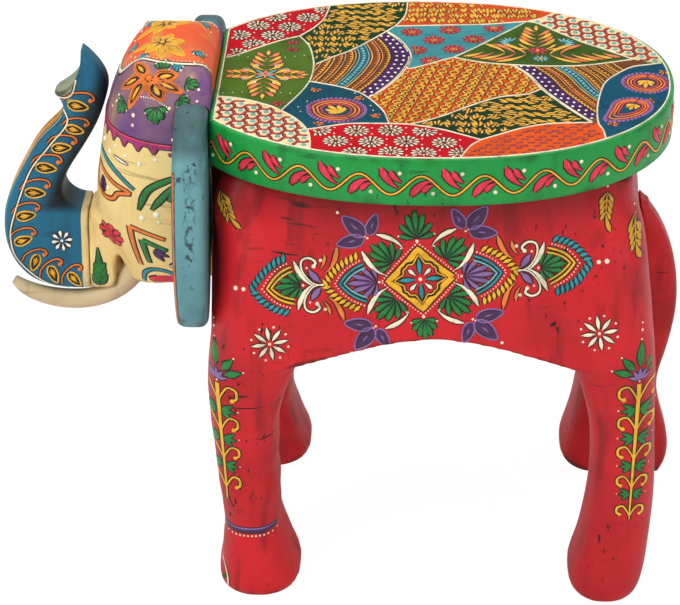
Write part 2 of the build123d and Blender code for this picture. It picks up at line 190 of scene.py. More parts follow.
class Nodes(Wiring):
    """The shader nodes of a material or a world."""

    def __init__(self, owner: Material | World) -> None:
        owner.use_nodes = True
        super().__init__(owner.node_tree)
        self.tree.nodes.clear()

    def noise(self, scale: float, detail: float = 3.0, stretch: tuple = (1.0, 1.0, 1.0),
              shift: float = 0.0) -> NodeSocket:
        """Noise on object coordinates, from about 0.3 to 0.7."""
        mapping = self.add("ShaderNodeMapping", {
            "Vector": self.add("ShaderNodeTexCoord").outputs["Object"], "Scale": stretch,
            "Location": (shift, shift * 0.7, shift * 1.3)})
        texture = self.add("ShaderNodeTexNoise", {
            "Vector": mapping.outputs["Vector"], "Scale": scale, "Detail": detail})
        return texture.outputs["Fac"]

    def math(self, kind: str, first: object, second: object = 0.0,
             clamp: bool = False) -> NodeSocket:
        """One step of arithmetic."""
        node = self.add("ShaderNodeMath", {0: first, 1: second}, operation=kind, use_clamp=clamp)
        return node.outputs[0]

    def product(self, *factors: object) -> NodeSocket:
        """The product of two or more values, not above 1."""
        result = factors[0]
        for factor in factors[1:]:
            result = self.math("MULTIPLY", result, factor, clamp=True)
        return result

    def band(self, value: object, low: float, high: float) -> NodeSocket:
        """A smooth step from 0 at low to 1 at high."""
        node = self.add("ShaderNodeMapRange", {"Value": value, "From Min": low, "From Max": high},
                        interpolation_type="SMOOTHSTEP")
        return node.outputs["Result"]

    def mix(self, share: object, first: object, second: object) -> NodeSocket:
        """Blends two colours."""
        node = self.add("ShaderNodeMix", {0: share, 6: first, 7: second}, data_type="RGBA")
        return node.outputs[2]

    def attribute(self, name: str) -> NodeSocket:
        """A number stored on the mesh."""
        return self.add("ShaderNodeAttribute", attribute_name=name).outputs["Fac"]

    def place(self, kind: str = "Object") -> tuple:
        """Object X, Y and Z in metres, or those of the surface's normal."""
        source = self.add("ShaderNodeTexCoord").outputs[kind]
        return tuple(self.add("ShaderNodeSeparateXYZ", {0: source}).outputs)

    def surface(self, colour: object, roughness: object, bump: object, depth: float,
                coat: float = 0.0, sheen: float = 0.24) -> None:
        """Finishes the material with a painted surface."""
        relief = self.add("ShaderNodeBump", {"Strength": 0.6, "Distance": depth, "Height": bump})
        shader = self.add("ShaderNodeBsdfPrincipled", {
            "Base Color": colour, "Roughness": roughness, "Specular IOR Level": sheen,
            "Coat Weight": coat, "Coat Roughness": 0.35, "Normal": relief.outputs["Normal"]})
        self.add("ShaderNodeOutputMaterial", {"Surface": shader.outputs["BSDF"]})


Colouring = Callable[[Nodes], object]


def coat_material(coat: Coat, colouring: Colouring | None = None) -> Material:
    """Paint with uneven tone, rubbed edges, dark scuffs and an antique wash.

    Args:
        coat: the colours and amounts.
        colouring: makes the ground colour where it isn't one colour all over.

    Returns:
        The material.
    """
    material = bpy.data.materials.new(coat.name)
    nodes = Nodes(material)
    ground = colouring(nodes) if colouring else srgb(coat.colour)
    tone = nodes.product(nodes.band(nodes.noise(14.0, 5.0), 0.36, 0.68), coat.mottle)
    colour = nodes.mix(tone, ground, nodes.mix(0.5, ground, srgb(coat.shade)))
    streak = nodes.band(nodes.noise(70.0, 4.0, (1.0, 1.0, 0.16), 3.0), 0.52, 0.70)
    colour = nodes.mix(nodes.product(streak, coat.mottle * 0.7), colour, srgb(coat.shade))
    fleck = nodes.band(nodes.noise(240.0, 3.0, (1.0, 1.0, 0.5), 7.0), 0.63, 0.71)
    patch = nodes.band(nodes.noise(9.0, 3.0, (1.0, 1.0, 1.0), 11.0), 0.50, 0.66)
    scuff = nodes.product(fleck, patch, coat.speck)
    scratch = nodes.band(nodes.noise(150.0, 3.0, (0.16, 0.16, 1.6), 13.0), 0.60, 0.68)
    where = nodes.band(nodes.noise(13.0, 3.0, (1.0, 1.0, 1.0), 17.0), 0.50, 0.62)
    scuff = nodes.math("MAXIMUM", scuff, nodes.product(scratch, where, 0.75 * coat.speck))
    rub = nodes.math("ADD", nodes.attribute("edge"), nodes.noise(38.0, 6.0, (1.0, 1.0, 0.6), 5.0))
    rub = nodes.product(nodes.band(rub, 0.74, 1.02), coat.wear)
    grime = nodes.product(nodes.band(nodes.attribute("hollow"), 0.10, 0.80), 0.75)
    dark = nodes.math("MAXIMUM", nodes.math("MAXIMUM", scuff, rub), grime)
    colour = nodes.mix(dark, colour, srgb(coat.worn))
    rough = nodes.math("ADD", coat.roughness - 0.1, nodes.product(nodes.noise(60.0), 0.22))
    bump = nodes.math("ADD", nodes.noise(120.0, 5.0, (1.0, 1.0, 0.3), 2.0),
                      nodes.math("MULTIPLY", dark, -0.8))
    nodes.surface(colour, rough, bump, 0.0005, 0.2 * coat.sheen, coat.sheen)
    return material


@cache
def cone(paint: Paint) -> Material:
    """Raised paint, glossier than the ground, dulled a little by the wash; one of each colour."""
    material = bpy.data.materials.new(f"cone_{paint.name.lower()}")
    nodes = Nodes(material)
    base = srgb(paint.value)
    dull = tuple(0.45 * c for c in base[:3]) + (1.0,)
    tone = nodes.band(nodes.noise(90.0, 4.0), 0.44, 0.70)
    colour = nodes.mix(nodes.product(tone, 0.55), base, dull)
    chip = nodes.band(nodes.noise(420.0, 2.0, (1.0, 1.0, 1.0), 4.0), 0.68, 0.74)
    colour = nodes.mix(nodes.product(chip, 0.5), colour, srgb(Paint.WASH.value))
    nodes.surface(colour, 0.40, nodes.noise(500.0, 2.0), 0.0001, 0.2)
    return material


# ---- meshes

def placed(name: str, data: ID) -> Object:
    """A new object in the scene."""
    made = bpy.data.objects.new(name, data)
    bpy.context.scene.collection.objects.link(made)
    return made


def raw_mesh(name: str, verts: Sequence, edges: Sequence = (),
             faces: Sequence = ()) -> Mesh:
    """A new mesh from points in metres, edges and faces."""
    mesh = bpy.data.meshes.new(name)
    mesh.from_pydata(verts, edges, faces)
    mesh.update()
    return mesh


def solid_object(name: str, verts: np.ndarray, faces: Sequence[Sequence[int]],
                 material: Material, smooth: bool = True) -> Object:
    """Makes an object from points in metres and faces."""
    mesh = raw_mesh(name, verts.tolist(), (), faces)
    mesh.polygons.foreach_set("use_smooth", [smooth] * len(mesh.polygons))
    mesh.materials.append(material)
    return placed(name, mesh)


def vertex_values(mesh: Mesh, label: str) -> np.ndarray:
    """A vector that every vertex has, in rows."""
    values = np.empty(len(mesh.vertices) * 3)
    mesh.vertices.foreach_get(label, values)
    return values.reshape(-1, 3)


def move_vertices(mesh: Mesh, points: np.ndarray) -> None:
    """Puts every vertex at its point."""
    mesh.vertices.foreach_set("co", points.ravel())
    mesh.update()


def keep_in_box(mesh: Mesh) -> None:
    """Moves any point that stands outside the CAD model's box back to it."""
    move_vertices(mesh, vertex_values(mesh, "co").clip(np.array(BOX[0]), np.array(BOX[1])))


def finish_piece(piece: Object, nodes: Sequence[str] = ()) -> None:
    """Puts a piece on the frame, inside its box, and hides the CAD nodes it stands for."""
    keep_in_box(piece.data)
    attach(piece, "root")
    if nodes:
        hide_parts(*nodes)
    LOG.info("%s: %d faces", piece.name, len(piece.data.polygons))


def neighbour_mean(values: np.ndarray, edges: np.ndarray) -> np.ndarray:
    """The mean of each vertex's neighbours."""
    count = np.bincount(edges.ravel(), minlength=len(values)).clip(1)
    ends, others = edges.ravel(), edges[:, ::-1].ravel()
    columns = values.reshape(len(values), -1)
    sums = [np.bincount(ends, weights=columns[others, i], minlength=len(values))
            for i in range(columns.shape[1])]
    return (np.stack(sums, -1) / count[:, None]).reshape(values.shape)


def run_of(path: np.ndarray) -> np.ndarray:
    """How far each point of a path lies along it."""
    steps = np.linalg.norm(np.diff(path, axis=0), axis=1)
    return np.concatenate([[0.0], np.cumsum(steps)])


def point_at(path: np.ndarray, run: np.ndarray, s: float | np.ndarray) -> np.ndarray:
    """The point, or points, a given way along a path."""
    return np.stack([np.interp(s, run, path[:, i]) for i in (0, 1)], -1)


def straight(*columns: float | np.ndarray) -> np.ndarray:
    """Points from coordinates, of which one or more are the same for all of them."""
    count = max(len(column) for column in columns if isinstance(column, np.ndarray))
    return np.column_stack([column if isinstance(column, np.ndarray) else np.full(count, column)
                            for column in columns]).astype(float)


def tapered(count: int, *widths: tuple[float, float]) -> np.ndarray:
    """Half widths along a stroke, from pairs of a share of its length and a half width."""
    stops, values = zip(*widths)
    return np.interp(np.linspace(0, 1, count), stops, values)


@dataclass(frozen=True)
class SkinSize:
    """How a skin is made from its solids."""

    voxel: float
    passes: int
    uneven: float
    edge_gain: float = 5.0


class Skin:
    """A carved form: the solids of some nodes in one softened, slightly uneven surface."""

    COARSE, FINE = 28.0, 75.0    # how close the dents lie, in dents per metre
    SPREAD = 5                   # how often the measure of edges is averaged

    def __init__(self, name: str, nodes: Sequence[str], size: SkinSize,
                 reshape: PointRule | None = None) -> None:
        self.reshape = reshape
        self.name = name
        self.nodes = list(nodes)
        self.size = size
        self.mesh = self._remeshed()
        self._soften()
        self.tree = BVHTree.FromPolygons(
            [v.co.copy() for v in self.mesh.vertices],
            [tuple(p.vertices) for p in self.mesh.polygons])

    def _remeshed(self) -> Mesh:
        verts, faces = [], []
        for node in self.nodes:
            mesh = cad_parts[node].data
            start = len(verts)
            verts.extend(v.co.copy() for v in mesh.vertices)
            faces.extend([start + i for i in p.vertices] for p in mesh.polygons)
        mesh = raw_mesh(self.name + "_rough", verts, (), faces)
        rough = placed(mesh.name, mesh)
        modifier = rough.modifiers.new("remesh", "REMESH")
        modifier.mode = "VOXEL"
        modifier.voxel_size = self.size.voxel * MM
        graph = bpy.context.evaluated_depsgraph_get()
        result = bpy.data.meshes.new_from_object(rough.evaluated_get(graph))
        bpy.data.objects.remove(rough)
        bpy.data.meshes.remove(mesh)
        return result

    def _soften(self) -> None:
        mesh = self.mesh
        verts = vertex_values(mesh, "co")
        if self.reshape:
            verts = self.reshape(verts)
        edges = np.empty(len(mesh.edges) * 2, dtype=np.int64)
        mesh.edges.foreach_get("vertices", edges)
        edges = edges.reshape(-1, 2)
        for _ in range(self.size.passes):
            verts = 0.5 * verts + 0.5 * neighbour_mean(verts, edges)
        move_vertices(mesh, verts)
        normals = vertex_values(mesh, "normal")
        dents = np.array([noise.noise(Vector(v) * self.COARSE)
                          + 0.5 * noise.noise(Vector(v) * self.FINE) for v in verts])
        verts = verts + normals * ((dents - 1.0) * self.size.uneven * MM)[:, None]
        verts[:, 2] = verts[:, 2].clip(0.0)
        move_vertices(mesh, verts)
        bend = ((verts - neighbour_mean(verts, edges)) * normals).sum(1) / (self.size.voxel * MM)
        for _ in range(self.SPREAD):
            bend = 0.4 * bend + 0.6 * neighbour_mean(bend, edges)
        for label, sign in (("edge", 1.0), ("hollow", -1.0)):
            data = mesh.attributes.new(label, "FLOAT", "POINT").data
            data.foreach_set("value", (sign * bend * self.size.edge_gain).clip(0.0, 1.0))
        mesh.polygons.foreach_set("use_smooth", [True] * len(mesh.polygons))

    def dress(self, material: Material) -> Object:
        """Makes the visible piece.

        Args:
            material: its paint.

        Returns:
            The piece.
        """
        self.mesh.materials.clear()
        self.mesh.materials.append(material)
        piece = placed(self.name, self.mesh)
        finish_piece(piece, self.nodes)
        return piece


# ---- canvases

class Canvas:
    """A surface that ornament is drawn on, with its own two coordinates in millimetres."""

    def lay(self, at: np.ndarray, lift: np.ndarray) -> tuple[np.ndarray, np.ndarray]:
        """Finds where drawn points lie.

        Args:
            at: the points' two coordinates, in millimetres.
            lift: how far each stands off the surface, in millimetres.

        Returns:
            Places in metres, not-a-number where there is no surface, and the surface's normals.
        """
        raise NotImplementedError


class SeatTop(Canvas):
    """The flat top of the seat, drawn in X and Y."""

    BASE = 0.10

    def lay(self, at: np.ndarray, lift: np.ndarray) -> tuple[np.ndarray, np.ndarray]:
        places = np.column_stack([at, SEAT.top + self.BASE + lift]) * MM
        return places, np.tile((0.0, 0.0, 1.0), (len(at), 1))


class Rim(Canvas):
    """The seat's edge, drawn in the distance along it from the near front corner and in Z."""

    def __init__(self) -> None:
        self.outline = seat_outline(0.0, 720)
        self.run = run_of(self.outline)
        self.length = float(self.run[-1])

    def lay(self, at: np.ndarray, lift: np.ndarray) -> tuple[np.ndarray, np.ndarray]:
        s = at[:, 0]
        point, ahead, behind = (point_at(self.outline, self.run, s + step) for step in (0, 1, -1))
        along = ahead - behind
        along /= np.linalg.norm(along, axis=1).clip(1e-9)[:, None]
        normal = np.column_stack([along[:, 1], -along[:, 0], np.zeros(len(at))])
        places = np.column_stack([point, at[:, 1]]) + normal * lift[:, None]
        places[(s < 0) | (s > self.length)] = np.nan
        return places * MM, normal


class Cast(Canvas):
    """A skin that ornament is cast on to from outside, along given rays."""

    def __init__(self, skin: Skin) -> None:
        self.skin = skin

    def rays(self, at: np.ndarray) -> tuple[np.ndarray, np.ndarray]:
        """Where each point's ray starts and which way it goes, in millimetres."""
        raise NotImplementedError

    def lay(self, at: np.ndarray, lift: np.ndarray) -> tuple[np.ndarray, np.ndarray]:
        starts, ways = self.rays(at)
        places = np.full((len(at), 3), np.nan)
        normals = np.zeros((len(at), 3))
        for i, (start, way) in enumerate(zip(starts * MM, ways)):
            hit, normal, _, _ = self.skin.tree.ray_cast(Vector(start), Vector(way))
            if hit is not None and abs(normal.dot(Vector(way))) > GRAZING:
                places[i] = hit + normal * (lift[i] * MM)
                normals[i] = normal
        return places, normals


class Side(Cast):
    """A side of the stool, drawn in X and Z. Side -1 is the elephant's left and +1 its right."""

    def __init__(self, skin: Skin, side: int) -> None:
        super().__init__(skin)
        self.side = side

    def rays(self, at: np.ndarray) -> tuple[np.ndarray, np.ndarray]:
        starts = np.column_stack([at[:, 0], np.full(len(at), self.side * FAR), at[:, 1]])
        return starts, np.tile((0.0, -float(self.side), 0.0), (len(at), 1))


class Round(Cast):
    """A form seen from all round an upright line.

    It is drawn in the arc from the front, at a given radius, and in Z.
    """

    def __init__(self, skin: Skin, centre: tuple[float, float], side: int = -1,
                 radius: float = 60.0) -> None:
        super().__init__(skin)
        self.centre = np.array(centre)
        self.side = side
        self.radius = radius

    def rays(self, at: np.ndarray) -> tuple[np.ndarray, np.ndarray]:
        angle = at[:, 0] / self.radius
        out = np.column_stack([-np.cos(angle), self.side * np.sin(angle)])
        starts = np.column_stack([self.centre + out * FAR, at[:, 1]])
        return starts, np.column_stack([-out, np.zeros(len(at))])


class Facet(Cast):
    """A plane laid against a form, drawn in its level direction (towards the tail) and upslope.

    The place and the way it faces are given for the elephant's left and mirrored for its right.
    """

    def __init__(self, skin: Skin, origin: tuple, facing: tuple, side: int = -1) -> None:
        super().__init__(skin)
        mirror = np.array([1.0, -float(side), 1.0])
        self.origin = np.array(origin) * mirror
        normal = np.array(facing) * mirror
        self.normal = normal / np.linalg.norm(normal)
        level = np.array([-self.normal[1], self.normal[0], 0.0])
        self.level = -side * level / np.linalg.norm(level)
        up = np.array([0.0, 0.0, 1.0]) - self.normal[2] * self.normal
        self.up = up / np.linalg.norm(up)

    def rays(self, at: np.ndarray) -> tuple[np.ndarray, np.ndarray]:
        on_plane = self.origin + at[:, :1] * self.level + at[:, 1:] * self.up
        return on_plane + self.normal * FAR / 2, np.tile(-self.normal, (len(at), 1))


# ---- strokes

class Form(Enum):
    """How wide a stroke is along its length, as shares of its full width."""

    LEAF = (0.10, 0.72, 1.0, 0.86, 0.46, 0.06)
    DROP = (0.14, 0.36, 0.66, 0.95, 1.0, 0.30)
    PETAL = (0.25, 0.70, 1.0, 1.0, 0.62, 0.12)
    TOOTH = (1.0, 0.86, 0.66, 0.46, 0.24, 0.05)


ROUND_ACROSS = np.array([-1.0, -0.66, 0.0, 0.66, 1.0])
ROUND_LIFT = np.array([-0.30, 0.72, 1.0, 0.72, -0.30])
FLAT_ACROSS = np.array([-1.0, -0.84, 0.84, 1.0])
FLAT_LIFT = np.array([-0.6, 1.0, 1.0, -0.6])
WASH_MARGIN = 0.85
WASH_LIFT = 0.15


@dataclass(frozen=True)
class Spot:
    """Where a motif is drawn: its centre, how far it is turned in degrees, and its scale."""

    u: float
    v: float
    turn: float = 0.0
    size: float = 1.0
    flip: bool = False

    def out(self, points: np.ndarray) -> np.ndarray:
        """Turns the motif's own coordinates into the canvas's."""
        x, y = points[:, 0] * self.size, points[:, 1] * self.size
        if self.flip:
            y = -y
        c, s = math.cos(math.radians(self.turn)), math.sin(math.radians(self.turn))
        return np.column_stack([self.u + x * c - y * s, self.v + x * s + y * c])

    def at(self, x: float, y: float, turn: float = 0.0, size: float = 1.0,
           flip: bool = False) -> "Spot":
        """A spot given in this one's coordinates."""
        u, v = self.out(np.array([[x, y]]))[0]
        sign = -1.0 if self.flip else 1.0
        return Spot(u, v, self.turn + sign * turn, self.size * size, self.flip != flip)


class Brush:
    """Collects raised strokes and dots for one canvas and makes them into pieces."""

    THINNEST = 0.25      # a stroke is never lower than where it is this share of its widest
    SPLITTABLE = 6       # a stroke with more points than this may be cut at a patch's edge

    def __init__(self, name: str, canvas: Canvas, slot: str,
                 inside: PointRule | None = None) -> None:
        self.name = name
        self.canvas = canvas
        self.slot = slot
        self.inside = inside
        self.strokes: dict[Paint, list[tuple[np.ndarray, np.ndarray, float]]] = {}
        self.dots: dict[Paint, list[tuple[float, float, float]]] = {}

    def stroke(self, paint: Paint, points: np.ndarray, half_widths: np.ndarray,
               lift: float = 0.5, wash: bool = True) -> None:
        """One raised stroke through canvas points, with a darker line of wash round it."""
        if len(points) < 2:
            return
        if self.inside is not None:
            kept = self.inside(points)
            if not kept.all():
                runs = np.split(np.arange(len(points)), np.where(np.diff(kept.astype(int)))[0] + 1)
                for run in runs:
                    if kept[run[0]] and len(run) > 2 and len(points) > self.SPLITTABLE:
                        self._keep(paint, points[run], half_widths[run], lift, wash)
                return
        self._keep(paint, points, half_widths, lift, wash)

    def _keep(self, paint: Paint, points: np.ndarray, half_widths: np.ndarray, lift: float,
              wash: bool) -> None:
        self.strokes.setdefault(paint, []).append((points, half_widths, lift))
        if wash:
            margin = half_widths + WASH_MARGIN
            self.strokes.setdefault(Paint.WASH, []).append((points, margin, WASH_LIFT))

    def line(self, paint: Paint, points: Points | np.ndarray, width: float = 1.0,
             lift: float = 0.5, wash: bool = True) -> None:
        """A line of even width."""
        points = np.asarray(points, float)
        half = np.full(len(points), width / 2)
        half[0] = half[-1] = width / 5
        self.stroke(paint, points, half, lift, wash)

    def dot(self, paint: Paint, u: float, v: float, radius: float) -> None:
        """A round drop of paint."""
        if self.inside is not None and not self.inside(np.array([[u, v]]))[0]:
            return
        self.dots.setdefault(paint, []).append((u, v, radius))

    def pieces(self) -> list[Object]:
        """Makes one object for each paint's strokes and one for its dots."""
        made = []
        for paint, strokes in self.strokes.items():
            piece = self._ribbons(paint, strokes)
            if piece:
                made.append(piece)
        for paint, dots in self.dots.items():
            piece = beads(f"{self.name}_{paint.name.lower()}_dots", self.canvas, dots, paint)
            if piece:
                made.append(piece)
        for piece in made:
            finish_piece(piece)
        return made

    def _ribbons(self, paint: Paint, strokes: list) -> Object | None:
        flat = paint is Paint.WASH
        across = FLAT_ACROSS if flat else ROUND_ACROSS
        wide = len(across)
        spots, lifts, lengths = [], [], []
        for points, half, lift in strokes:
            along = np.gradient(points, axis=0)
            along /= np.linalg.norm(along, axis=1).clip(1e-6)[:, None]
            side = np.column_stack([-along[:, 1], along[:, 0]])
            rows = points[:, None, :] + side[:, None, :] * (half[:, None] * across)[:, :, None]
            if flat:
                up = np.tile(lift * FLAT_LIFT, (len(points), 1))
            else:
                full = lift * (half / half.max()).clip(self.THINNEST, 1.0) ** 0.5
                up = full[:, None] * ROUND_LIFT
            spots.append(rows.reshape(-1, 2))
            lifts.append(up.ravel())
            lengths.append(len(points))
        places, _ = self.canvas.lay(np.concatenate(spots), np.concatenate(lifts))
        verts, faces, start, used = [], [], 0, 0
        for length in lengths:
            block = places[start:start + length * wide].reshape(length, wide, 3)
            start += length * wide
            for run in sound_runs(block):
                verts.append(block[run].reshape(-1, 3))
                for i in range(len(run) - 1):
                    low, high = used + i * wide, used + (i + 1) * wide
                    faces.extend((low + j, high + j, high + j + 1, low + j + 1)
                                 for j in range(wide - 1))
                    faces.append((low + wide - 1, high + wide - 1, high, low))
                faces.append(tuple(used + j for j in range(wide)))
                faces.append(tuple(used + (len(run) - 1) * wide + j for j in reversed(range(wide))))
                used += len(run) * wide
        if not verts:
            return None
        name = f"{self.name}_{paint.name.lower()}"
        return solid_object(name, np.concatenate(verts), faces, cone(paint))


def sound_runs(block: np.ndarray) -> list[np.ndarray]:
    """Splits a laid stroke where it leaves the form or jumps to another one.

    Args:
        block: the stroke's points, row by row along it.

    Returns:
        The row numbers of each piece that is left, at least two rows long.
    """
    good = ~np.isnan(block).any(axis=(1, 2))
    steps = np.linalg.norm(np.diff(block, axis=0), axis=2).max(axis=1)
    wide = np.linalg.norm(np.diff(block, axis=1), axis=2).max(axis=1)
    good &= ~(wide > JUMP)
    runs, run = [], []
    for i in range(len(block)):
        if run and (not good[i] or steps[i - 1] > JUMP):
            runs.append(run)
            run = []
        if good[i]:
            run.append(i)
    runs.append(run)
    return [np.array(run) for run in runs if len(run) > 1]


# ---- geometry nodes

class Growth(Wiring):
    """Builds a geometry node tree: its sockets, its nodes, and the steps that end it."""

    def __init__(self, name: str, size_input: str) -> None:
        super().__init__(bpy.data.node_groups.new(name, "GeometryNodeTree"))
        for label, way, kind in (("Source", "INPUT", "Geometry"), ("Paint", "INPUT", "Material"),
                                 (size_input, "INPUT", "Float"), ("Result", "OUTPUT", "Geometry")):
            self.tree.interface.new_socket(label, in_out=way, socket_type=f"NodeSocket{kind}")
        self.inputs = self.add("NodeGroupInput").outputs

    def end(self, geometry: NodeSocket) -> GeometryNodeTree:
        """Smooths, realizes and paints the geometry, and makes it the tree's result."""
        smooth = self.add("GeometryNodeSetShadeSmooth", {"Geometry": geometry})
        real = self.add("GeometryNodeRealizeInstances", {"Geometry": smooth.outputs[0]})
        dye = self.add("GeometryNodeSetMaterial", {"Geometry": real.outputs[0],
                                                   "Material": self.inputs["Paint"]})
        self.add("NodeGroupOutput", {"Result": dye.outputs[0]})
        return self.tree


@cache
def bead_tree() -> GeometryNodeTree:
    """A node tree that sets a flattened drop of paint on each point."""
    growth = Growth("paint_drops", "Height")
    drop = growth.add("GeometryNodeMeshUVSphere", {"Segments": 8, "Rings": 5, "Radius": 1.0})
    radius = growth.add("GeometryNodeInputNamedAttribute", {"Name": "radius"}, data_type="FLOAT")
    radius = radius.outputs["Attribute"]
    facing = growth.add("GeometryNodeInputNamedAttribute", {"Name": "facing"},
                        data_type="FLOAT_VECTOR")
    turn = growth.add("FunctionNodeAlignRotationToVector", {"Vector": facing.outputs["Attribute"]},
                      axis="Z")
    tall = growth.add("ShaderNodeMath", {0: radius, 1: growth.inputs["Height"]},
                      operation="MULTIPLY")
    scale = growth.add("ShaderNodeCombineXYZ", {"X": radius, "Y": radius, "Z": tall.outputs[0]})
    place = growth.add("GeometryNodeInstanceOnPoints", {
        "Points": growth.inputs["Source"], "Instance": drop.outputs["Mesh"],
        "Rotation": turn.outputs["Rotation"], "Scale": scale.outputs["Vector"]})
    return growth.end(place.outputs["Instances"])


@cache
def cord_tree() -> GeometryNodeTree:
    """A node tree that runs a rounded line of paint along each edge of a path."""
    growth = Growth("paint_line", "Radius")
    curve = growth.add("GeometryNodeMeshToCurve", {"Mesh": growth.inputs["Source"]})
    profile = growth.add("GeometryNodeCurvePrimitiveCircle",
                         {"Resolution": 6, "Radius": growth.inputs["Radius"]})
    sweep = growth.add("GeometryNodeCurveToMesh", {
        "Curve": curve.outputs["Curve"], "Profile Curve": profile.outputs["Curve"],
        "Fill Caps": True})
    return growth.end(sweep.outputs["Mesh"])


def grown(name: str, mesh: Mesh, tree: GeometryNodeTree,
          **inputs: object) -> Object:
    """Runs a node tree on a mesh and keeps what it makes as a plain mesh.

    Args:
        name: the new piece's name.
        mesh: what the tree reads.
        tree: the node tree.
        inputs: values for the tree's named inputs.

    Returns:
        The new object.
    """
    carrier = placed(name + "_source", mesh)
    modifier = carrier.modifiers.new("nodes", "NODES")
    modifier.node_group = tree
    named = {item.name: item.identifier for item in tree.interface.items_tree
             if item.in_out == "INPUT"}
    for label, value in inputs.items():
        modifier[named[label]] = value
    carrier.update_tag()
    graph = bpy.context.evaluated_depsgraph_get()
    result = bpy.data.meshes.new_from_object(carrier.evaluated_get(graph))
    result.name = name
    bpy.data.objects.remove(carrier)
    bpy.data.meshes.remove(mesh)
    return placed(name, result)


def beads(name: str, canvas: Canvas, dots: Sequence[tuple[float, float, float]],
          paint: Paint) -> Object | None:
    """Drops of paint on a canvas, given by their two coordinates and radius."""
    table = np.array(dots)
    places, normals = canvas.lay(table[:, :2], np.zeros(len(table)))
    good = ~np.isnan(places).any(axis=1)
    if not good.any():
        return None
    mesh = raw_mesh(name + "_points", places[good].tolist())
    mesh.attributes.new("radius", "FLOAT", "POINT").data.foreach_set("value", table[good, 2] * MM)
    facing = mesh.attributes.new("facing", "FLOAT_VECTOR", "POINT")
    facing.data.foreach_set("vector", normals[good].ravel())
    return grown(name, mesh, bead_tree(), Paint=cone(paint), Height=0.6)


def painted_cord(name: str, canvas: Canvas, paths: Sequence[np.ndarray], paint: Paint,
                 width: float, lift: float = 0.15) -> Object:
    """Rounded lines of paint along several canvas paths."""
    verts, edges = [], []
    for path in paths:
        places, _ = canvas.lay(path, np.full(len(path), lift))
        for i, place in enumerate(places):
            if np.isnan(place).any():
                continue
            if i and not np.isnan(places[i - 1]).any():
                edges.append((len(verts) - 1, len(verts)))
            verts.append(place.tolist())
    mesh = raw_mesh(name + "_path", verts, edges)
    return grown(name, mesh, cord_tree(), Paint=cone(paint), Radius=width / 2 * MM)


# ---- plane geometry

def seat_outline(inset: float, count: int = 256) -> np.ndarray:
    """The seat's curved edge from the near front corner round the rear to the far one.

    Args:
        inset: how far inside the edge, in millimetres.
        count: how many points.

    Returns:
        Points in X and Y, in millimetres.
    """
    half_x, half_y = SEAT.reach - inset, SEAT.half_width - inset
    angles = np.linspace(-math.pi, math.pi, count * 8)
    c, s = np.cos(angles), np.sin(angles)
    reach = (np.abs(c) ** SEAT.fullness + np.abs(s) ** SEAT.fullness) ** (-1 / SEAT.fullness)
    points = np.column_stack([SEAT.centre_x + half_x * reach * c, half_y * reach * s])
    points = points[points[:, 0] > SEAT.front + inset]
    run = run_of(points)
    return point_at(points, run, np.linspace(0.0, run[-1], count))


def smooth_path(points: Points, step: float = 2.0, closed: bool = False) -> np.ndarray:
    """A smooth curve through points, as evenly spaced points.

    Args:
        points: what it passes through.
        step: the spacing in millimetres.
        closed: whether it returns to its start.

    Returns:
        The points of the curve.
    """
    given = np.asarray(points, float)
    if closed:
        given = np.vstack([given[-1], given, given[0], given[1]])
    else:
        given = np.vstack([2 * given[0] - given[1], given, 2 * given[-1] - given[-2]])
    t = np.linspace(0, 1, 12, endpoint=False)[:, None]
    dense = []
    for a, b, c, d in zip(given, given[1:], given[2:], given[3:]):
        dense.append(0.5 * (2 * b + (c - a) * t + (2 * a - 5 * b + 4 * c - d) * t ** 2
                            + (3 * b - a - 3 * c + d) * t ** 3))
    dense = np.vstack(dense + [given[-2][None]])
    run = run_of(dense)
    return point_at(dense, run, np.linspace(0, run[-1], max(int(run[-1] / step), 2) + 1))


def contains(polygon: np.ndarray, points: np.ndarray) -> np.ndarray:
    """Which points lie inside a polygon."""
    result = np.zeros(len(points), bool)
    x, y = points[:, 0], points[:, 1]
    for (ax, ay), (bx, by) in zip(polygon, np.roll(polygon, -1, axis=0)):
        crosses = (ay > y) != (by > y)
        with np.errstate(divide="ignore", invalid="ignore"):
            result ^= crosses & (x < (bx - ax) * (y - ay) / (by - ay) + ax)
    return result


def side_name(side: int) -> str:
    """The elephant's left is side -1 and its right is side 1."""
    return "left" if side < 0 else "right"


def near_edge(polygon: np.ndarray, points: np.ndarray) -> np.ndarray:
    """How far points lie from a polygon's sides."""
    best = np.full(len(points), np.inf)
    for a, b in zip(polygon, np.roll(polygon, -1, axis=0)):
        along = b - a
        share = ((points - a) @ along / max(along @ along, 1e-9)).clip(0, 1)
        best = np.minimum(best, np.linalg.norm(points - a - share[:, None] * along, axis=1))
    return best


def clipped(polygon: np.ndarray, outline: np.ndarray) -> np.ndarray:
    """A polygon cut to a convex outline that runs anticlockwise."""
    result = list(polygon)
    for a, b in zip(outline, np.roll(outline, -1, axis=0)):
        before, result = result, []
        normal = np.array([-(b - a)[1], (b - a)[0]])
        for p, q in zip(before, before[1:] + before[:1]):
            dp, dq = (p - a) @ normal, (q - a) @ normal
            if dp >= 0:
                result.append(p)
            if (dp >= 0) != (dq >= 0):
                result.append(p + (q - p) * dp / (dp - dq))
        if not result:
            return np.zeros((0, 2))
    return np.array(result)


# ---- motifs

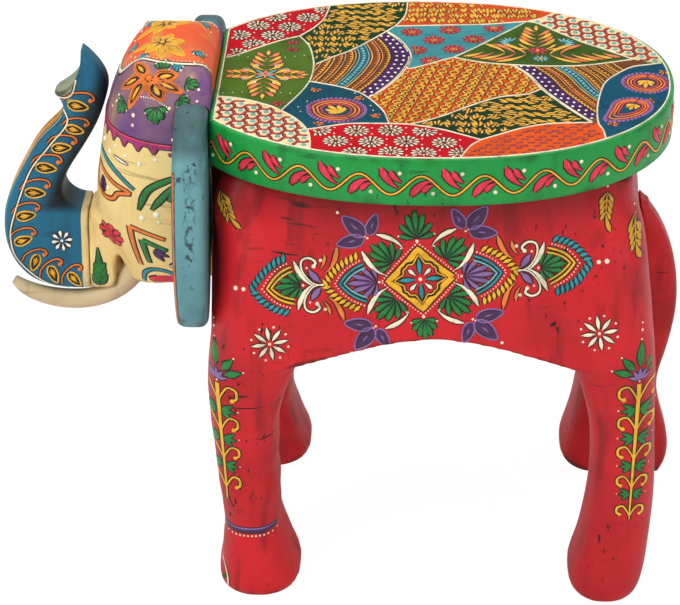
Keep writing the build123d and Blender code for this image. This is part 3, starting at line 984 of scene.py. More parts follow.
def leaf(brush: Brush, spot: Spot, paint: Paint, length: float, width: float, bend: float = 0.0,
         form: Form = Form.LEAF, lift: float = 0.5, wash: bool = True) -> None:
    """One leaf-shaped or drop-shaped stroke from the spot outwards.

    Args:
        brush: what draws it.
        spot: its root and direction.
        paint: its colour.
        length: from root to tip, in millimetres at size 1.
        width: at its widest.
        bend: how far it curls to its left, as a share of its length.
        form: how its width changes.
        lift: how far it is raised.
        wash: whether a darker line surrounds it.
    """
    t = np.linspace(0, 1, len(form.value))
    points = np.column_stack([length * t, bend * length * t ** 2])
    half = np.array(form.value) * width / 2 * spot.size
    brush.stroke(paint, spot.out(points), half, lift, wash)


def drops(brush: Brush, spot: Spot, paint: Paint, count: int, length: float, width: float,
          bend: float = 0.0, reach: float = 360.0, root: float = 0.0,
          form: Form = Form.PETAL) -> None:
    """Petals round a centre, or spread over part of a circle about the spot's direction."""
    full = abs(reach - 360.0) < 1e-6
    for i in range(count):
        share = i / count if full else i / (count - 1) - 0.5
        turn = reach * share
        c, s = math.cos(math.radians(turn)), math.sin(math.radians(turn))
        curl = bend if full else bend * (2 * share)
        leaf(brush, spot.at(root * c, root * s, turn), paint, length, width, curl, form)


def flower(brush: Brush, spot: Spot, petal: Paint, eye: Paint, radius: float,
           count: int = 8) -> None:
    """A flower with petals round a dot."""
    width = 2.4 * radius / count * 1.25
    drops(brush, spot, petal, count, radius * 0.68, width, root=radius * 0.32)
    brush.dot(eye, spot.u, spot.v, radius * 0.26 * spot.size)


def scroll(brush: Brush, spot: Spot, paint: Paint, radius: float, turns: float = 1.1,
           tail: float = 1.0, width: float = 1.1) -> None:
    """A hook that winds in from a tail at the spot."""
    t = np.linspace(0, 1, 14)
    angle = 2 * math.pi * turns * t - math.pi / 2
    size = radius * (1 - 0.78 * t)
    curl = np.column_stack([radius * tail + size * np.cos(angle), radius + size * np.sin(angle)])
    points = np.vstack([[[0.0, 0.0]], curl])
    half = tapered(len(points), (0, 0.3), (0.3, 1), (0.9, 1), (1, 0.7))
    brush.stroke(paint, spot.out(points), half * width / 2 * spot.size)
    end = spot.out(curl[-1:])[0]
    brush.dot(paint, end[0], end[1], width * 0.8 * spot.size)


def palmette(brush: Brush, spot: Spot, paint: Paint, length: float, pairs: int = 3,
             width: float = 4.4, spread: float = 84.0, tips: Paint | None = None) -> None:
    """A fan of drops with their round ends outwards, over a darker leaf.

    Args:
        brush: what draws it.
        spot: the root and the direction of the middle drop.
        paint: the drops' colour.
        length: of the middle drop.
        pairs: how many drops stand on each side of it.
        width: of the widest drop.
        spread: the angle of the outermost pair.
        tips: the colour of a small dot at each outer drop's end.
    """
    under = {Paint.GREEN: Paint.DARK_GREEN, Paint.LILAC: Paint.PURPLE}.get(paint)
    if under:
        leaf(brush, spot, under, length * 0.84, length * 0.70, form=Form.PETAL, lift=0.28)
    leaf(brush, spot.at(length * 0.12, 0), paint, length * 0.88, width, form=Form.DROP)
    for i in range(pairs):
        share = (i + 1) / pairs
        turn, reach = spread * share, length * (0.92 - 0.34 * share)
        for sign in (-1, 1):
            side = spot.at(length * 0.10 * (1 - share), 0, sign * turn)
            leaf(brush, side.at(reach * 0.16, 0), paint, reach * 0.84, width * (1 - 0.14 * share),
                 -sign * 0.20, Form.DROP)
            if tips and i == pairs - 1:
                end = side.out(np.array([[reach * 1.02, -sign * reach * 0.12]]))[0]
                brush.dot(tips, end[0], end[1], 0.75 * spot.size)


def bud(brush: Brush, spot: Spot, fill: Paint, edge: Paint, length: float, width: float,
        line: float = 1.5, lift: float = 0.3) -> None:
    """A pointed petal filled with one paint and outlined in another."""
    t = np.linspace(0, math.pi, 9)
    half = width / 2 * np.sin(t) ** 1.15 * (1.0 + 0.30 * np.cos(t))
    along = length * (1 - np.cos(t)) / 2
    brush.stroke(fill, spot.out(np.column_stack([along, 0 * t])), half.clip(0.15) * spot.size, lift)
    side = np.column_stack([along, half])
    shape = np.vstack([side, (side * (1, -1))[::-1][1:]])
    brush.line(edge, spot.out(shape), line, lift + 0.3, False)
    leaf(brush, spot.at(length * 0.30, 0), edge, length * 0.34, line * 1.1, lift=lift + 0.25,
         wash=False)


def chevron(spot: Spot, tip: float, end: float, half: float, bulge: float = 0.10) -> np.ndarray:
    """A pointed bracket whose arms swell a little outwards."""
    t = np.linspace(-1, 1, 33)
    out = tip + (end - tip) * np.abs(t)
    swell = half * bulge * np.sin(np.abs(t) * math.pi)
    return spot.out(np.column_stack([out + swell, t * half + np.sign(t) * swell]))


def marks(brush: Brush, paint: Paint, spot: Spot, places: Sequence[tuple]) -> None:
    """Dots given by two coordinates of the spot and a radius."""
    for x, y, radius in places:
        u, v = spot.out(np.array([[x, y]]))[0]
        brush.dot(paint, u, v, radius * spot.size)


def rope(brush: Brush, path: np.ndarray, paint: Paint, width: float = 2.2,
         pitch: float = 2.3, slant: float = 38.0) -> None:
    """A twisted rope made of slanting strokes along a path."""
    run = run_of(path)
    for s in np.arange(pitch / 3, run[-1], pitch):
        here, ahead, before = (point_at(path, run, s + step) for step in (0.0, 0.5, -0.5))
        way = ahead - before
        turn = math.degrees(math.atan2(way[1], way[0])) + slant
        spot = Spot(here[0], here[1], turn).at(-width * 0.62, 0)
        leaf(brush, spot, paint, width * 1.24, pitch * 0.80, 0.12, Form.PETAL, 0.7)


def bead_row(brush: Brush, path: np.ndarray, paint: Paint, radius: float, gap: float) -> None:
    """Dots evenly spaced along a path."""
    run = run_of(path)
    for u, v in point_at(path, run, np.arange(gap / 2, run[-1], gap)):
        brush.dot(paint, u, v, radius)


def scallops(brush: Brush, path: np.ndarray, paint: Paint, depth: float, pitch: float,
             width: float = 0.9) -> None:
    """A row of small arches standing on the left of a path."""
    run = run_of(path)
    for s in np.arange(0.0, run[-1] - pitch * 0.5, pitch):
        a, b = point_at(path, run, s), point_at(path, run, s + pitch)
        way = (b - a) / max(np.linalg.norm(b - a), 1e-6)
        left = np.array([-way[1], way[0]])
        t = np.linspace(0, math.pi, 7)[:, None]
        arch = (a + b) / 2 - (b - a) / 2 * np.cos(t) + left * depth * np.sin(t)
        brush.line(paint, arch, width)


def drop_outline(length: float, width: float, hook: float, count: int = 40) -> np.ndarray:
    """A closed paisley outline about its round end, its drawn-out tip curling to one side."""
    angle = np.linspace(-math.pi, math.pi, count)
    grow = np.exp(-(np.abs(angle) / 0.50) ** 1.25)
    reach = width / 2 * (1 - grow) + (length - width / 2) * grow
    turn = angle + hook / length * 1.6 * grow
    return np.column_stack([reach * np.cos(turn), reach * np.sin(turn)])


def paisley(brush: Brush, spot: Spot, rings: Sequence[tuple[Paint, float, float]],
            length: float, width: float, hook: float) -> None:
    """Nested paisley outlines, each ring a paint, a share of the full size and a line width."""
    for paint, share, line in rings:
        shape = drop_outline(length * share, width * share, hook * share)
        brush.line(paint, spot.out(shape), line)


# ---- seat

@dataclass(frozen=True)
class Patch:
    """One painted patch of the seat's top: its ground colours and its outline in X and Y."""

    name: str
    ground: str
    shade: str
    outline: tuple[tuple[float, float], ...]
    pattern: str = ""


# Corners and edges that two or more patches share, so that they meet.
FAN_LEFT_OUTER = ((33, 83), (43, 67), (50, 48), (52, 30), (48, 10), (41, -10), (31, -30),
                  (22, -42))
FAN_LEFT_TOP = ((33, 83), (20, 63), (6, 44), (-8, 30), (-18, 18))
FAN_LEFT_LOW = ((-22, -14), (0, -23), (15, -33), (22, -42))
OLIVE_RIGHT = ((-33, 71), (-25, 52), (-21, 28), (-20, 8), (-22, -14), (-28, -36), (-40, -67))
GREEN_LEFT = ((-10, 160), (-15, 112), (-22, 90), (-33, 71))
CHAIN_LEFT = ((48, 160), (47, 120), (41, 98), (33, 83))
CHAIN_LOW = ((38, 93), (73, 96), (108, 99), (140, 106))
DIAMOND_LEFT = ((140, 106), (130, 92), (116, 74), (100, 53), (84, 34))
DIAMOND_LOW = ((84, 34), (106, 25), (133, 21), (158, 20), (184, 23), (218, 35))
DIAMOND_RIGHT = ((140, 106), (149, 102), (163, 86), (183, 65), (200, 51), (218, 35))
WHEAT_TOP = ((52, 30), (50, 12), (63, 19), (75, 28), (84, 34))
FAN_RIGHT_EDGE = ((127, 22), (139, 2), (148, -22), (160, -45), (172, -65), (182, -80))
PAIR_LEFT = ((260, 40), (233, 27), (217, 21), (205, 8), (195, -9), (190, -32), (187, -58),
             (187, -81), (190, -94), (192, -125))
DARK_TOP = ((148, -22), (137, -32), (117, -38), (97, -53), (74, -74), (53, -88))
DASH_TOP = ((103, -112), (117, -102), (133, -91), (153, -83), (182, -80))
CRIMSON_TOP = ((-20, -99), (-5, -93), (10, -88), (33, -87), (53, -88), (74, -95), (90, -104),
               (103, -112))
NET_RIGHT = ((-91, -43), (-70, -47), (-50, -58), (-40, -67), (-28, -82), (-20, -99), (-17, -118),
             (-16, -160))
OLIVE_LEFT_TOP = ((-110, 18), (-91, 26), (-80, 32), (-63, 48), (-47, 62), (-33, 71))
PAISLEY_RIGHT = ((22, -42), (28, -53), (34, -67), (38, -87))
DASH_LEFT = ((103, -112), (95, -124), (86, -150))
NET_TOP_LEFT = ((140, 106), (153, 114), (170, 135))
FAR_TOP = ((48, 160), (-10, 160))
OUTSIDE = 175.0

PATCHES = (
    Patch("crimson_far", "c0081a", "980814",
          ((-110, 18), *OLIVE_LEFT_TOP[1:], *GREEN_LEFT[::-1][1:], (-110, 160)), "daisies"),
    Patch("leaves_far", "123c1a", "0b2410",
          (*GREEN_LEFT, *OLIVE_RIGHT[1:3], *FAN_LEFT_TOP[::-1], *CHAIN_LEFT[::-1][1:]), "wheat"),
    Patch("chain_far", "cc4a12", "9c3410",
          (CHAIN_LEFT[0], *CHAIN_LEFT[1:3], *CHAIN_LOW, *NET_TOP_LEFT[1:], (150, 175)), "vine"),
    Patch("teal", "3f8a90", "2c666e",
          (CHAIN_LEFT[3], *CHAIN_LOW, *DIAMOND_LEFT[1:], *WHEAT_TOP[::-1][1:-1],
           *FAN_LEFT_OUTER[1:4][::-1]), "blooms"),
    Patch("diamond", "3c5a1a", "2a4010",
          (*DIAMOND_RIGHT, *DIAMOND_LOW[::-1][1:], *DIAMOND_LEFT[::-1][1:-1]), "diamond"),
    Patch("net_far", "e8d49c", "c8a868",
          (*NET_TOP_LEFT, (OUTSIDE * 2, 150), (260, 40), (233, 30), *DIAMOND_RIGHT[::-1][:-1]),
          "net"),
    Patch("fan_left", "7a3d20", "4f2a1a",
          (*FAN_LEFT_OUTER, *FAN_LEFT_LOW[::-1][1:], (-20, 8), (-21, 18),
           *FAN_LEFT_TOP[::-1][1:-1]),
          "fan_left"),
    Patch("olive", "4c6a1e", "364c14",
          (*OLIVE_LEFT_TOP, *OLIVE_RIGHT[1:], (-50, -58), (-70, -47), (-91, -43), (-110, -40)),
          "flourish"),
    Patch("net_near", "e8d49c", "c8a868", (*NET_RIGHT, (-110, -160), (-110, -42)), "net"),
    Patch("paisley", "0a4a5c", "083240",
          (*FAN_LEFT_LOW, *PAISLEY_RIGHT[1:], *CRIMSON_TOP[::-1][4:], (-28, -82), (-40, -67),
           (-28, -36)), "paisley"),
    Patch("wheat_near", "d0480f", "a4340c",
          (*WHEAT_TOP, *DIAMOND_LOW[1:2], *FAN_RIGHT_EDGE[:3], *DARK_TOP[1:], (38, -87),
           *PAISLEY_RIGHT[::-1][1:], *FAN_LEFT_OUTER[::-1][1:5]), "chains"),
    Patch("dark_near", "12361a", "0b2210",
          (*DARK_TOP[::-1], *FAN_RIGHT_EDGE[3:], *DASH_TOP[::-1][1:], *CRIMSON_TOP[::-1][1:3]),
          "curls"),
    Patch("fan_right", "7a4420", "4f2c1a",
          (*FAN_RIGHT_EDGE, (187, -81), *PAIR_LEFT[::-1][3:-1], (226, 31), *DIAMOND_LOW[::-1][:-2]),
          "fan_right"),
    Patch("dashes", "dc5214", "b03c10",
          (*DASH_TOP, (187, -81), (190, -94), (192, -125), (150, -175), *DASH_LEFT[::-1][:-1]),
          "dashes"),
    Patch("crimson_near", "c00618", "980612",
          (*CRIMSON_TOP, *DASH_LEFT[1:], (86, -175), (-16, -175), (-17, -118)), "daisies"),
    Patch("paisley_pair", "0a4c64", "083346",
          (*PAIR_LEFT[1:], (OUTSIDE * 2, -125), (OUTSIDE * 2, 30)), "paisley_pair"),
)

SEAMS = (GREEN_LEFT, CHAIN_LEFT, CHAIN_LOW, DIAMOND_LEFT, DIAMOND_LOW, DIAMOND_RIGHT, WHEAT_TOP,
         FAN_LEFT_OUTER, FAN_LEFT_TOP, FAN_LEFT_LOW, OLIVE_RIGHT, OLIVE_LEFT_TOP, FAN_RIGHT_EDGE,
         PAIR_LEFT, DARK_TOP, DASH_TOP, CRIMSON_TOP, NET_RIGHT, PAISLEY_RIGHT, DASH_LEFT,
         NET_TOP_LEFT)


class SeatTopArt:
    """The patchwork painted on the seat's top.

    A patch names its pattern, and the method of that name draws it with a brush that stays
    inside the patch's shape.
    """

    PATCH_HEIGHT = 0.12
    LAYER = 0.004
    SUNK = 0.3
    MARGIN = 3.2
    SEAM_WIDTH = 1.2
    BEAD = 0.78
    PITCH = 2.15
    # How far each line of a fan stands from its edge, what it is, and its paint.
    FAN_LINES = (
        (1.6, "line", Paint.CREAM), (5.4, "dots", Paint.WHITE), (10.6, "dots", Paint.CREAM),
        (16.0, "line", Paint.GOLD), (18.2, "scallop", Paint.YELLOW), (21.2, "line", Paint.ORANGE),
        (23.4, "line", Paint.GOLD), (26.0, "scallop", Paint.ORANGE), (29.0, "line", Paint.YELLOW),
        (31.4, "line", Paint.AQUA), (35.0, "rings", Paint.AQUA), (38.6, "line", Paint.AQUA),
        (41.2, "line", Paint.GOLD), (43.4, "line", Paint.ORANGE), (46.0, "scallop", Paint.YELLOW),
        (49.0, "line", Paint.GOLD), (51.4, "line", Paint.ORANGE), (54.0, "scallop", Paint.GOLD),
        (57.0, "line", Paint.YELLOW), (59.6, "line", Paint.ORANGE),
        (62.4, "scallop", Paint.YELLOW), (65.4, "line", Paint.GOLD), (68.0, "line", Paint.ORANGE),
        (71.0, "line", Paint.YELLOW), (74.0, "scallop", Paint.GOLD), (78.0, "line", Paint.YELLOW))
    # Each band's colour, how far from the fan's edge it starts and ends, and its ground.
    BANDS = (("purple", 0.4, 15.0, "45235a", "301640"), ("blue", 32.0, 38.2, "1f5f70", "15424f"))
    FIRST_BAND = 30
    ROW_SHARE = 0.87
    # Each ring of a paisley: its paint, its share of the full size, and its line's width.
    RINGS = ((Paint.MAGENTA, 1.0, 1.4), (Paint.ORANGE, 0.88, 1.8), (Paint.ORANGE, 0.72, 1.8),
             (Paint.CORAL, 0.57, 1.5))

    def __init__(self) -> None:
        self.canvas = SeatTop()
        self.edge = seat_outline(self.MARGIN, 160)
        self.random = np.random.default_rng(7)

    def build(self) -> None:
        """Paints every patch, then the seams between them."""
        for i, patch in enumerate(PATCHES):
            shape = clipped(np.array(patch.outline, float), self.edge)
            self._ground(patch, shape, i)
            inner = self._inner(shape)
            brush = Brush(f"seat_{patch.name}", self.canvas, "seat_paint", inner)
            getattr(self, f"_{patch.pattern}")(brush, shape)
            brush.pieces()
        self._seams()

    @staticmethod
    def _inner(shape: np.ndarray) -> PointRule:
        return lambda points: contains(shape, points) & (near_edge(shape, points) > 1.0)

    def _ground(self, patch: Patch, shape: np.ndarray, index: int) -> None:
        coat = Coat(f"ground_{patch.name}", patch.ground, patch.shade, wear=0.25, mottle=0.8,
                    speck=0.5, roughness=0.55, sheen=0.05)
        low, high = SEAT.top - self.SUNK, SEAT.top + self.PATCH_HEIGHT + self.LAYER * index
        count = len(shape)
        verts = np.vstack([straight(shape, z) for z in (low, high)]) * MM
        faces = [tuple(range(count, 2 * count)), tuple(reversed(range(count)))]
        faces += [(i, (i + 1) % count, count + (i + 1) % count, count + i) for i in range(count)]
        area = 0.5 * np.sum(shape[:, 0] * np.roll(shape[:, 1], -1)
                            - shape[:, 1] * np.roll(shape[:, 0], -1))
        if area < 0:
            faces = [tuple(reversed(face)) for face in faces]
        piece = solid_object(f"patch_{patch.name}", verts, faces, coat_material(coat), False)
        finish_piece(piece)

    def _seams(self) -> None:
        paths = [smooth_path(points, 2.0) for points in SEAMS]
        kept = [path[contains(self.edge, path)] for path in paths]
        kept = [path for path in kept if len(path) > 1]
        rim = np.vstack([self.edge, self.edge[:1]])
        border = painted_cord("seat_border", self.canvas, [rim], Paint.CREAM, self.SEAM_WIDTH)
        lines = painted_cord("seat_seams", self.canvas, kept, Paint.CREAM, self.SEAM_WIDTH)
        finish_piece(border)
        finish_piece(lines)
        for name, beaded in (("border", [rim]), ("seam", kept)):
            brush = Brush(f"seat_{name}_beads", self.canvas, "seat_paint")
            for path in beaded:
                bead_row(brush, path, Paint.CREAM, self.BEAD, self.PITCH)
            brush.pieces()

    def _grid(self, shape: np.ndarray, pitch: float, row: float | None = None,
              jitter: float = 0.0, offset: tuple[float, float] = (0.0, 0.0)) -> list:
        row = row or pitch * self.ROW_SHARE
        low, high = shape.min(0), shape.max(0)
        spots = []
        for j, y in enumerate(np.arange(low[1] + offset[1], high[1], row)):
            for x in np.arange(low[0] + offset[0] + (pitch / 2 if j % 2 else 0), high[0], pitch):
                move = self.random.uniform(-jitter, jitter, 2)
                spots.append((x + move[0], y + move[1], j))
        return spots

    def _daisies(self, brush: Brush, shape: np.ndarray) -> None:
        for x, y, _ in self._grid(shape, 25.0, 18.0, 1.2, (9.0, 8.0)):
            if not contains(shape, np.array([[x, y]]))[0]:
                continue
            spot = Spot(x, y, self.random.uniform(0, 45))
            drops(brush, spot, Paint.CREAM, 13, 4.6, 2.2, root=4.6, form=Form.DROP)
            drops(brush, spot, Paint.CREAM, 8, 2.6, 1.9, root=1.7, form=Form.DROP)
            brush.dot(Paint.DARK_GREEN, x, y, 1.2)
            for sign in (-1, 1):
                brush.dot(Paint.CREAM, x + 11.0, y + sign * 5.0, 0.8)

    def _wheat(self, brush: Brush, shape: np.ndarray) -> None:
        self._leaf_scatter(brush, shape, 9.4, 5.4)

    def _curls(self, brush: Brush, shape: np.ndarray) -> None:
        self._leaf_scatter(brush, shape, 9.6, 5.6)

    def _leaf_scatter(self, brush: Brush, shape: np.ndarray, pitch: float, length: float) -> None:
        """Close-set fronds of commas that swirl over the patch."""
        for x, y, row in self._grid(shape, pitch, pitch * 0.62, 0.5):
            turn = 35 + 75 * math.sin(x * 0.050 + y * 0.035) + (180 if row % 2 else 0)
            spot = Spot(x, y, turn)
            for root, reach, bend in ((-46, 1.0, 0.42), (0, 1.45, 0.20), (46, 1.0, -0.42)):
                leaf(brush, spot.at(0, 0, root).at(length * 0.22, 0), Paint.YELLOW,
                     length * reach, 1.9, bend, Form.DROP)

    def _vine(self, brush: Brush, shape: np.ndarray) -> None:
        for x, y, row in self._grid(shape, 7.8, 5.2, 0.6):
            turn = 75 + self.random.uniform(-28, 28) + (180 if row % 2 else 0)
            spot = Spot(x, y, turn)
            leaf(brush, spot, Paint.YELLOW, 7.2, 2.8, 0.4, Form.DROP)
            leaf(brush, spot.at(0.6, 0, 70), Paint.YELLOW, 5.4, 2.4, -0.4, Form.DROP)
            brush.dot(Paint.RED, x + 3.4, y + 2.2, 0.8)

    def _chains(self, brush: Brush, shape: np.ndarray) -> None:
        low, high = shape.min(0), shape.max(0)
        tilt = math.radians(-14)
        for k, x in enumerate(np.arange(low[0] - 60, high[0] + 60, 9.2)):
            y = np.arange(low[1] - 10, high[1] + 10, 0.9)
            sway = 2.1 * np.sin(y * 0.62 + k * 1.3)
            for shift, sign in ((0.0, -1), (2.4, 1)):
                across = x + shift + sway * sign - y * math.tan(tilt)
                brush.line(Paint.YELLOW, np.column_stack([across, y]), 1.3)
            for i, yy in enumerate(np.arange(low[1], high[1], 5.1)):
                spot = Spot(x + 4.6 - yy * math.tan(tilt), yy, 70 + 50 * (i % 2))
                leaf(brush, spot, Paint.YELLOW, 4.4, 1.8, 0.3, Form.DROP)

    def _blooms(self, brush: Brush, shape: np.ndarray) -> None:
        for x, y in ((52, 82), (81, 87), (115, 92), (69, 67), (99, 70), (56, 47), (84, 50),
                     (67, 27)):
            spot = Spot(x, y, self.random.uniform(0, 40))
            drops(brush, spot, Paint.RED, 9, 5.4, 3.2, root=3.2)
            drops(brush, spot, Paint.ORANGE, 8, 2.0, 1.6, root=1.4)
            brush.dot(Paint.GOLD, x, y, 1.1)

    def _net(self, brush: Brush, shape: np.ndarray) -> None:
        low, high = shape.min(0) - 12, shape.max(0) + 12
        lean = math.radians(28)
        axis = np.array([math.cos(lean), math.sin(lean)])
        across = np.array([-axis[1], axis[0]])
        middle = (low + high) / 2
        span = float(np.linalg.norm(high - low)) / 2
        t = np.arange(-span, span, 1.1)
        pitch = 10.4
        for k, offset in enumerate(np.arange(-span, span, pitch)):
            wave = 1.5 * np.sin(t * 0.60 + (k % 2) * math.pi)
            path = middle + across * offset + t[:, None] * axis + wave[:, None] * across
            brush.line(Paint.RED, path, 1.7)
            for s in np.arange(-span, span, pitch):
                shift = pitch / 2 if k % 2 else 0.0
                cell = middle + across * (offset + pitch / 2) + axis * (s + shift)
                tick = np.array([cell + across * side + axis * ahead for side, ahead in
                                 ((-4.6, 5.0), (-1.5, 4.4), (1.5, 5.6), (4.6, 5.0))])
                brush.line(Paint.RED, tick, 1.6)
                brush.dot(Paint.AQUA, cell[0], cell[1], 2.1)
                for turn in range(0, 360, 60):
                    marks(brush, Paint.CREAM, Spot(*cell, turn), ((3.3, 0.0, 0.6),))

    def _dashes(self, brush: Brush, shape: np.ndarray) -> None:
        for x, y, _ in self._grid(shape, 8.6, 5.4, 0.8):
            spot = Spot(x, y, self.random.uniform(-14, 26))
            leaf(brush, spot, Paint.RED, 5.0, 2.2, 0.25, Form.DROP, 0.35)

    def _fan(self, name: str, brush: Brush, shape: np.ndarray, edge: np.ndarray,
             way: float) -> None:
        """Flat bands and raised lines that repeat a fan's edge, stepping away from it."""
        for i, (colour, near, far, ground, shade) in enumerate(self.BANDS):
            band = np.vstack([edge + (way * near, 0.0), edge[::-1] + (way * far, 0.0)])
            band = band[contains(shape, band)]
            if len(band) > 2:
                patch = Patch(f"{name}_{colour}", ground, shade, ())
                self._ground(patch, band, self.FIRST_BAND + i)
        for offset, kind, paint in self.FAN_LINES:
            path = edge + (way * offset, 0.0)
            if kind == "line":
                brush.line(paint, path, 1.1)
            elif kind == "dots":
                bead_row(brush, path, paint, 1.25, 8.0)
            elif kind == "rings":
                bead_row(brush, path, paint, 1.5, 4.6)
            else:
                scallops(brush, path[::-1] if way > 0 else path, paint, 2.6, 4.2)

    def _fan_left(self, brush: Brush, shape: np.ndarray) -> None:
        self._fan("fan_left", brush, shape, smooth_path(FAN_LEFT_OUTER, 1.8), -1.0)

    def _fan_right(self, brush: Brush, shape: np.ndarray) -> None:
        edge = smooth_path(((116, 44), *FAN_RIGHT_EDGE, (196, -100)), 1.8)
        self._fan("fan_right", brush, shape, edge, 1.0)

    def _spray(self, brush: Brush, spot: Spot, count: int, length: float) -> None:
        """A plume of paired commas, orange at the root and yellow outwards."""
        for i in range(count):
            root = length * i / count
            paint = Paint.ORANGE if i % 2 else Paint.YELLOW
            for sign in (-1, 1):
                side = spot.at(root, sign * 0.8, sign * 62)
                leaf(brush, side, paint, length * 0.50 * (1 - 0.5 * i / count), 4.8, -sign * 0.42,
                     Form.DROP)
        leaf(brush, spot.at(length * 0.86, 0), Paint.YELLOW, length * 0.3, 4.0)

    def _diamond(self, brush: Brush, shape: np.ndarray) -> None:
        centre = Spot(147, 49)
        flower(brush, centre, Paint.RED, Paint.ORANGE, 7.5, 8)
        self._spray(brush, centre.at(0, 8, 90), 5, 36)
        for sign in (-1, 1):
            self._spray(brush, centre.at(sign * 9, -7, 90 - sign * 82), 6, 48)
            fan = centre.at(sign * 20, 16, 90 - sign * 60)
            drops(brush, fan, Paint.AQUA, 7, 8.0, 2.6, reach=170, root=1.6, form=Form.LEAF)
            drops(brush, fan, Paint.TEAL, 6, 4.0, 1.6, reach=140, root=1.0)
            for turn in (55, 95):
                leaf(brush, centre.at(sign * 6, 3, 90 - sign * turn), Paint.YELLOW, 12, 2.6,
                     sign * 0.3, Form.DROP)
        flower(brush, centre.at(2, -15), Paint.AQUA, Paint.YELLOW, 6.0, 9)

    def _flourish(self, brush: Brush, shape: np.ndarray) -> None:
        centre = Spot(-55, -2)
        brush.dot(Paint.RED, centre.u, centre.v, 1.6)
        for turn in (0, 90, 180, 270):
            long = 22 if turn in (0, 180) else 33
            leaf(brush, centre.at(0, 0, turn), Paint.ORANGE, 8, 3.2)
            self._spray(brush, centre.at(0, 0, turn).at(7, 0), 4, long)
            leaf(brush, centre.at(0, 0, turn + 45), Paint.AQUA, 12, 3.4)
            leaf(brush, centre.at(0, 0, turn + 45).at(1.5, 0), Paint.TEAL, 8, 1.4, lift=0.8,
                 wash=False)
            for sign in (-1, 1):
                curl = centre.at(0, 0, turn + 45).at(13, sign * 1.0, sign * 20, 1.0, sign < 0)
                scroll(brush, curl, Paint.CREAM, 3.0, 0.8, 1.4, 1.0)
        for x, y, turn in ((-37, 55, 100), (-42, -52, 250), (-38, 42, 80)):
            palmette(brush, Spot(x, y, turn), Paint.RED, 8, 2, 2.2)
        for i in range(9):
            brush.dot(Paint.CREAM, -84 + 7 * i, 26 + 2 * abs(i - 4), 0.6)
            brush.dot(Paint.CREAM, -84 + 7 * i, -33 - abs(i - 4), 0.6)

    def _paisley_at(self, brush: Brush, spot: Spot, length: float, width: float,
                    hook: float) -> None:
        shape = spot.out(drop_outline(length * 1.08, width * 1.12, hook * 1.08, 46))
        bead_row(brush, shape, Paint.LILAC, 1.5, 3.4)
        paisley(brush, spot, self.RINGS, length, width, hook)
        for turn, reach in ((0, 0.42), (-34, 0.34), (34, 0.34), (-66, 0.24), (66, 0.24)):
            leaf(brush, spot.at(-width * 0.14, 0, turn), Paint.YELLOW, width * reach, width * 0.13,
                 -turn * 0.004, Form.DROP)

    def _paisley(self, brush: Brush, shape: np.ndarray) -> None:
        spot = Spot(0, -65, 128)
        self._paisley_at(brush, spot, 40, 37, 16)
        for x, y, turn in ((-16, -27, 250), (18, -42, 200), (31, -74, 170), (-14, -90, 40)):
            palmette(brush, Spot(x, y, turn), Paint.ORANGE, 7, 2, 1.8)
        for x, y in ((-28, -60), (-26, -68), (-22, -50), (12, -34), (24, -56), (26, -64)):
            brush.dot(Paint.CREAM, x, y, 0.7)

    def _paisley_pair(self, brush: Brush, shape: np.ndarray) -> None:
        self._paisley_at(brush, Spot(225, -8, 262), 34, 31, 9)
        self._paisley_at(brush, Spot(213, -50, 248), 46, 25, -8)
        for x, y, turn in ((240, 14, 250), (204, 8, 280), (228, -40, 200), (196, -84, 60)):
            palmette(brush, Spot(x, y, turn), Paint.ORANGE, 7, 2, 1.8)


class Seat:
    """The seat board with its painted rim and top."""

    RIM_COAT = Coat("rim_green", "1a943f", "0f6a2c", "0f2012", wear=0.6, mottle=0.7, speck=1.0,
                    roughness=0.4)

    def build(self) -> None:
        """Makes the board and everything painted on it."""
        self._board()
        SeatTopArt().build()
        RimArt().build()

    def _board(self) -> None:
        thick = SEAT.top - SEAT.bottom
        rows = ((SEAT.bottom, SEAT.arris), (SEAT.bottom + SEAT.arris, 0.0),
                (SEAT.bottom + 0.35 * thick, 0.0), (SEAT.bottom + 0.70 * thick, 0.0),
                (SEAT.top - SEAT.arris, 0.0), (SEAT.top - 0.45, 0.45), (SEAT.top, SEAT.arris))
        count = 256
        rings = [straight(seat_outline(inset, count), z) for z, inset in rows]
        verts = np.vstack(rings) * MM
        faces = [(r * count + i, r * count + (i + 1) % count, (r + 1) * count + (i + 1) % count,
                  (r + 1) * count + i) for r in range(len(rows) - 1) for i in range(count)]
        faces.append(tuple(reversed(range(count))))
        faces.append(tuple((len(rows) - 1) * count + i for i in range(count)))
        board = solid_object("seat_board", verts, faces, coat_material(self.RIM_COAT))
        board.data.polygons[len(faces) - 1].use_smooth = False
        board.data.polygons[len(faces) - 2].use_smooth = False
        wear = np.repeat([0.3, 0.25, 0.0, 0.0, 0.25, 0.3, 0.0], count)
        board.data.attributes.new("edge", "FLOAT", "POINT").data.foreach_set("value", wear)
        finish_piece(board,
                     ("seat_left_board", "seat_middle_board", "seat_right_board"))


